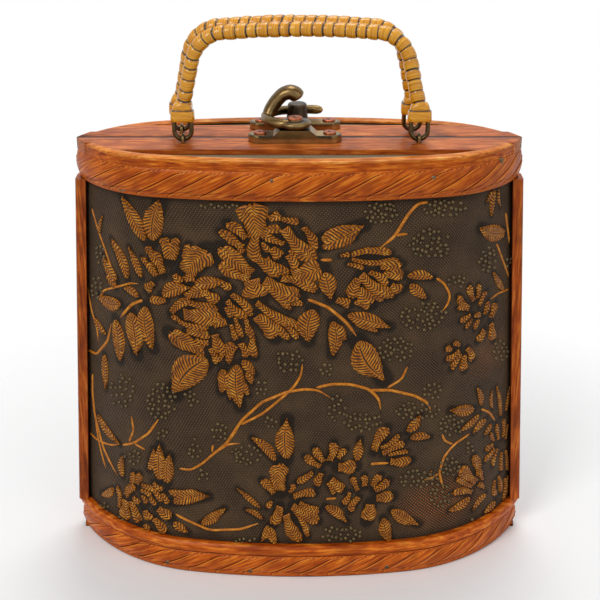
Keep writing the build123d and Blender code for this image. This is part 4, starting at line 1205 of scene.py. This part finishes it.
def latch_arm():
    """Hub, bar round behind the catch post, and the horn that rises from the bar over the post."""
    builder = bmesh.new()
    rod(builder, ARM_BAR, 90)
    rod(builder, HORN, 70, 24)
    add_hub(builder)
    bmesh.ops.recalc_face_normals(builder, faces=builder.faces)
    piece = finished("latch_arm_cast", builder, bronze, "latch_arm")
    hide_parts("latch_arm")


def screw_marks():
    """A dark disc in each screw's head and in the rivet's, painted shade for the punched hole."""
    front_spots = [(x, LATCH_Y, SCREW_TOP) for x in SCREW_X] + [(LATCH_X, LATCH_Y, RIVET_TOP)]
    back_spots = [(x, CATCH_Y, SCREW_TOP) for x in SCREW_X]
    for half, spots in (("front", front_spots), ("back", back_spots)):
        builder = bmesh.new()
        for x, y, z in spots:
            made = bmesh.ops.create_cone(builder, cap_ends=True, segments=14, radius1=0.85,
                                         radius2=0.6, depth=0.1)["verts"]
            bmesh.ops.translate(builder, vec=(x - 0.3, y - 0.2, z + 0.04), verts=made)
        finished(half + "_screw_hole_shade", builder, hole_shade, half + "_half")


latch_arm()
screw_marks()


# Nails and dark marks in the front rims

# Pixels of the photograph at which the nails show, and where the marks start and end, with their width
TOP_NAILS = [(271.7, 181.0), (434.0, 178.0), (513.5, 150.0)]
BOTTOM_NAILS = [(168.0, 562.0), (250.6, 570.6), (386.4, 566.7)]
TOP_MARKS = [(201, 181, 212, 178, 1.3), (203, 186, 215, 184, 1.4), (502, 163, 508, 160, 3.0),
             (119, 193, 124, 190, 1.2)]
NAIL_RADIUS = 1.15
NAIL_STAND = 0.8
MARK_RADIUS = 0.5
MARK_STAND = 0.75


def on_rim(plan, carving, pixel, out):
    """The point of a rim's rounded face that shows at a pixel."""
    low, high = carving
    places, heights = np.meshgrid(np.linspace(0.4, 2.6, 880), np.linspace(low, high, 60))
    share = (heights - low) / (high - low)
    inset = -out * np.sqrt(np.clip(1 - (2 * share - 1) ** 2, 0, 1))
    flat = plan.point(places.ravel(), 0.0)
    inner = plan.point(places.ravel(), RIM_THICKNESS)
    flat = flat + (inner - flat) / RIM_THICKNESS * inset.ravel()[:, None]
    points = np.concatenate([flat, heights.ravel()[:, None]], axis=1)
    return points[np.argmin(np.linalg.norm(seen_at(points) - np.asarray(pixel), axis=1))]


def add_bead(target, place, radius, segments, rings, stretch):
    """A small ball, stretched, set into a rim's face."""
    made = bmesh.ops.create_uvsphere(target, u_segments=segments, v_segments=rings,
                                     radius=radius)["verts"]
    bmesh.ops.scale(target, vec=stretch, verts=made)
    bmesh.ops.translate(target, vec=Vector(place), verts=made)


def rim_marks():
    """The nails' heads, and rows of small beads for the dark marks."""
    builder = bmesh.new()
    rims = ((TOP, TOP_CARVING, TOP_NAILS), (BOTTOM, BOTTOM_CARVING, BOTTOM_NAILS))
    for plan, carving, nails in rims:
        for pixel in nails:
            place = on_rim(plan, carving, pixel, NAIL_STAND)
            add_bead(builder, place, NAIL_RADIUS, 16, 8, (1, 0.5, 1))
    for x0, y0, x1, y1, width in TOP_MARKS:
        for share in np.linspace(0, 1, 9):
            pixel = (x0 + (x1 - x0) * share, y0 + (y1 - y0) * share)
            place = on_rim(TOP, TOP_CARVING, pixel, MARK_STAND)
            add_bead(builder, place, MARK_RADIUS, 8, 6, (1.5, 0.5, 0.5 * width))
    finished("front_rim_nails", builder, gunmetal, "front_half")


rim_marks()


# Finishes of the carried-over pieces

FINISHES = {
    "wall": cover, "lining": lining_cloth, "top_band": band_wood, "top_edging": edging_wood,
    "top_board": panel_cover, "top_bar": bar_wood, "bottom_bead": band_wood, "bottom_board": bar_wood,
    "bottom_bar": bar_wood, "left_post": post_wood, "right_post": post_wood, "left_staple": bronze,
    "right_staple": bronze, "left_link": bronze, "right_link": bronze, "handle_core": steel,
    "latch_base": bronze, "latch_screws": copper, "latch_rivet": copper, "latch_arm": bronze,
    "catch_base": bronze, "catch_post": gunmetal, "catch_screws": copper, "hinge_screws": steel,
    "hinge_pin": steel, "hinge_front_leaf": hinge_brass, "hinge_back_leaf": hinge_brass,
    "top_rim": carved_wood, "bottom_rim": carved_wood, "handle_wrap": cane,
}

for node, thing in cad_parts.items():
    ending = max((name for name in FINISHES if node.endswith(name)), key=len)
    thing.data.materials.clear()
    thing.data.materials.append(FINISHES[ending])


# Floor, light and camera

FLOOR_HALF_SIZE = 12.0
FLOOR_DROP = 0.0001
FLOOR_FADE = (0.12, 0.3)
WORLD_STRENGTH = 0.38
WORLD_EXTRA_WHERE_SEEN = 0.62
LAMP_AIM = Vector((0, 0, 0.12))
# Name, place in metres, size in metres and power in watts
LAMPS = [
    ("key_lamp", (-0.75, -1.1, 1.35), 0.7, 13.0),
    ("fill_lamp", (1.1, -0.9, 0.8), 1.2, 3.5),
    ("top_lamp", (0.1, 0.45, 1.4), 0.6, 7.0),
]


def floor():
    """A pale floor that catches the shadow and fades out round the bag."""
    builder = bmesh.new()
    bmesh.ops.create_grid(builder, x_segments=1, y_segments=1, size=FLOOR_HALF_SIZE)
    mesh = bpy.data.meshes.new("floor")
    builder.to_mesh(mesh)
    builder.free()
    material, tree, shader = node_material("pale_floor", 0.9)
    shader.inputs["Base Color"].default_value = (0.97, 0.97, 0.97, 1.0)
    distance = tree.nodes.new("ShaderNodeVectorMath")
    distance.operation = "LENGTH"
    tree.links.new(source_vector(tree, "Object"), distance.inputs[0])
    near, far = FLOOR_FADE
    faded = ramp(tree, distance.outputs["Value"], [(near, (1, 1, 1, 1)), (far, (0, 0, 0, 1))])
    tree.links.new(faded, shader.inputs["Alpha"])
    mesh.materials.append(material)
    ground = bpy.data.objects.new("floor", mesh)
    ground.location.z = -FLOOR_DROP
    bpy.context.scene.collection.objects.link(ground)


def studio_light():
    """White surroundings, stronger where they are seen than where they light, and three lamps."""
    world = bpy.data.worlds.new("studio")
    bpy.context.scene.world = world
    world.use_nodes = True
    tree = world.node_tree
    background = tree.nodes["Background"]
    path = tree.nodes.new("ShaderNodeLightPath")
    seen = sums(tree, "MAXIMUM", path.outputs["Is Camera Ray"], path.outputs["Is Glossy Ray"])
    seen = sums(tree, "MAXIMUM", seen, path.outputs["Is Transmission Ray"])
    extra = sums(tree, "MULTIPLY", seen, WORLD_EXTRA_WHERE_SEEN)
    strength = sums(tree, "ADD", extra, WORLD_STRENGTH)
    tree.links.new(strength, background.inputs["Strength"])
    background.inputs["Color"].default_value = (1.0, 1.0, 1.0, 1.0)
    for name, place, size, power in LAMPS:
        data = bpy.data.lights.new(name, "AREA")
        data.size = size
        data.energy = power
        lamp = bpy.data.objects.new(name, data)
        lamp.location = place
        lamp.rotation_euler = (LAMP_AIM - Vector(place)).to_track_quat("-Z", "Y").to_euler()
        bpy.context.scene.collection.objects.link(lamp)


def place_camera():
    """The camera that was fitted to the photograph."""
    data = bpy.data.cameras.new("camera")
    data.sensor_width = SENSOR_WIDTH
    data.lens = CAMERA_FOCUS / PHOTO_WIDTH * SENSOR_WIDTH
    camera = bpy.data.objects.new("camera", data)
    offset = (PHOTO_WIDTH / 2 - CAMERA_CENTRE[0]) / CAMERA_FOCUS * CAMERA_DISTANCE
    camera.location = (offset * MM, -CAMERA_DISTANCE * MM, CAMERA_HEIGHT * MM)
    camera.rotation_euler = (math.pi / 2 - CAMERA_PITCH, 0, 0)
    bpy.context.scene.collection.objects.link(camera)
    bpy.context.scene.camera = camera


floor()
studio_light()
place_camera()
bpy.context.scene.view_settings.view_transform = "Standard"
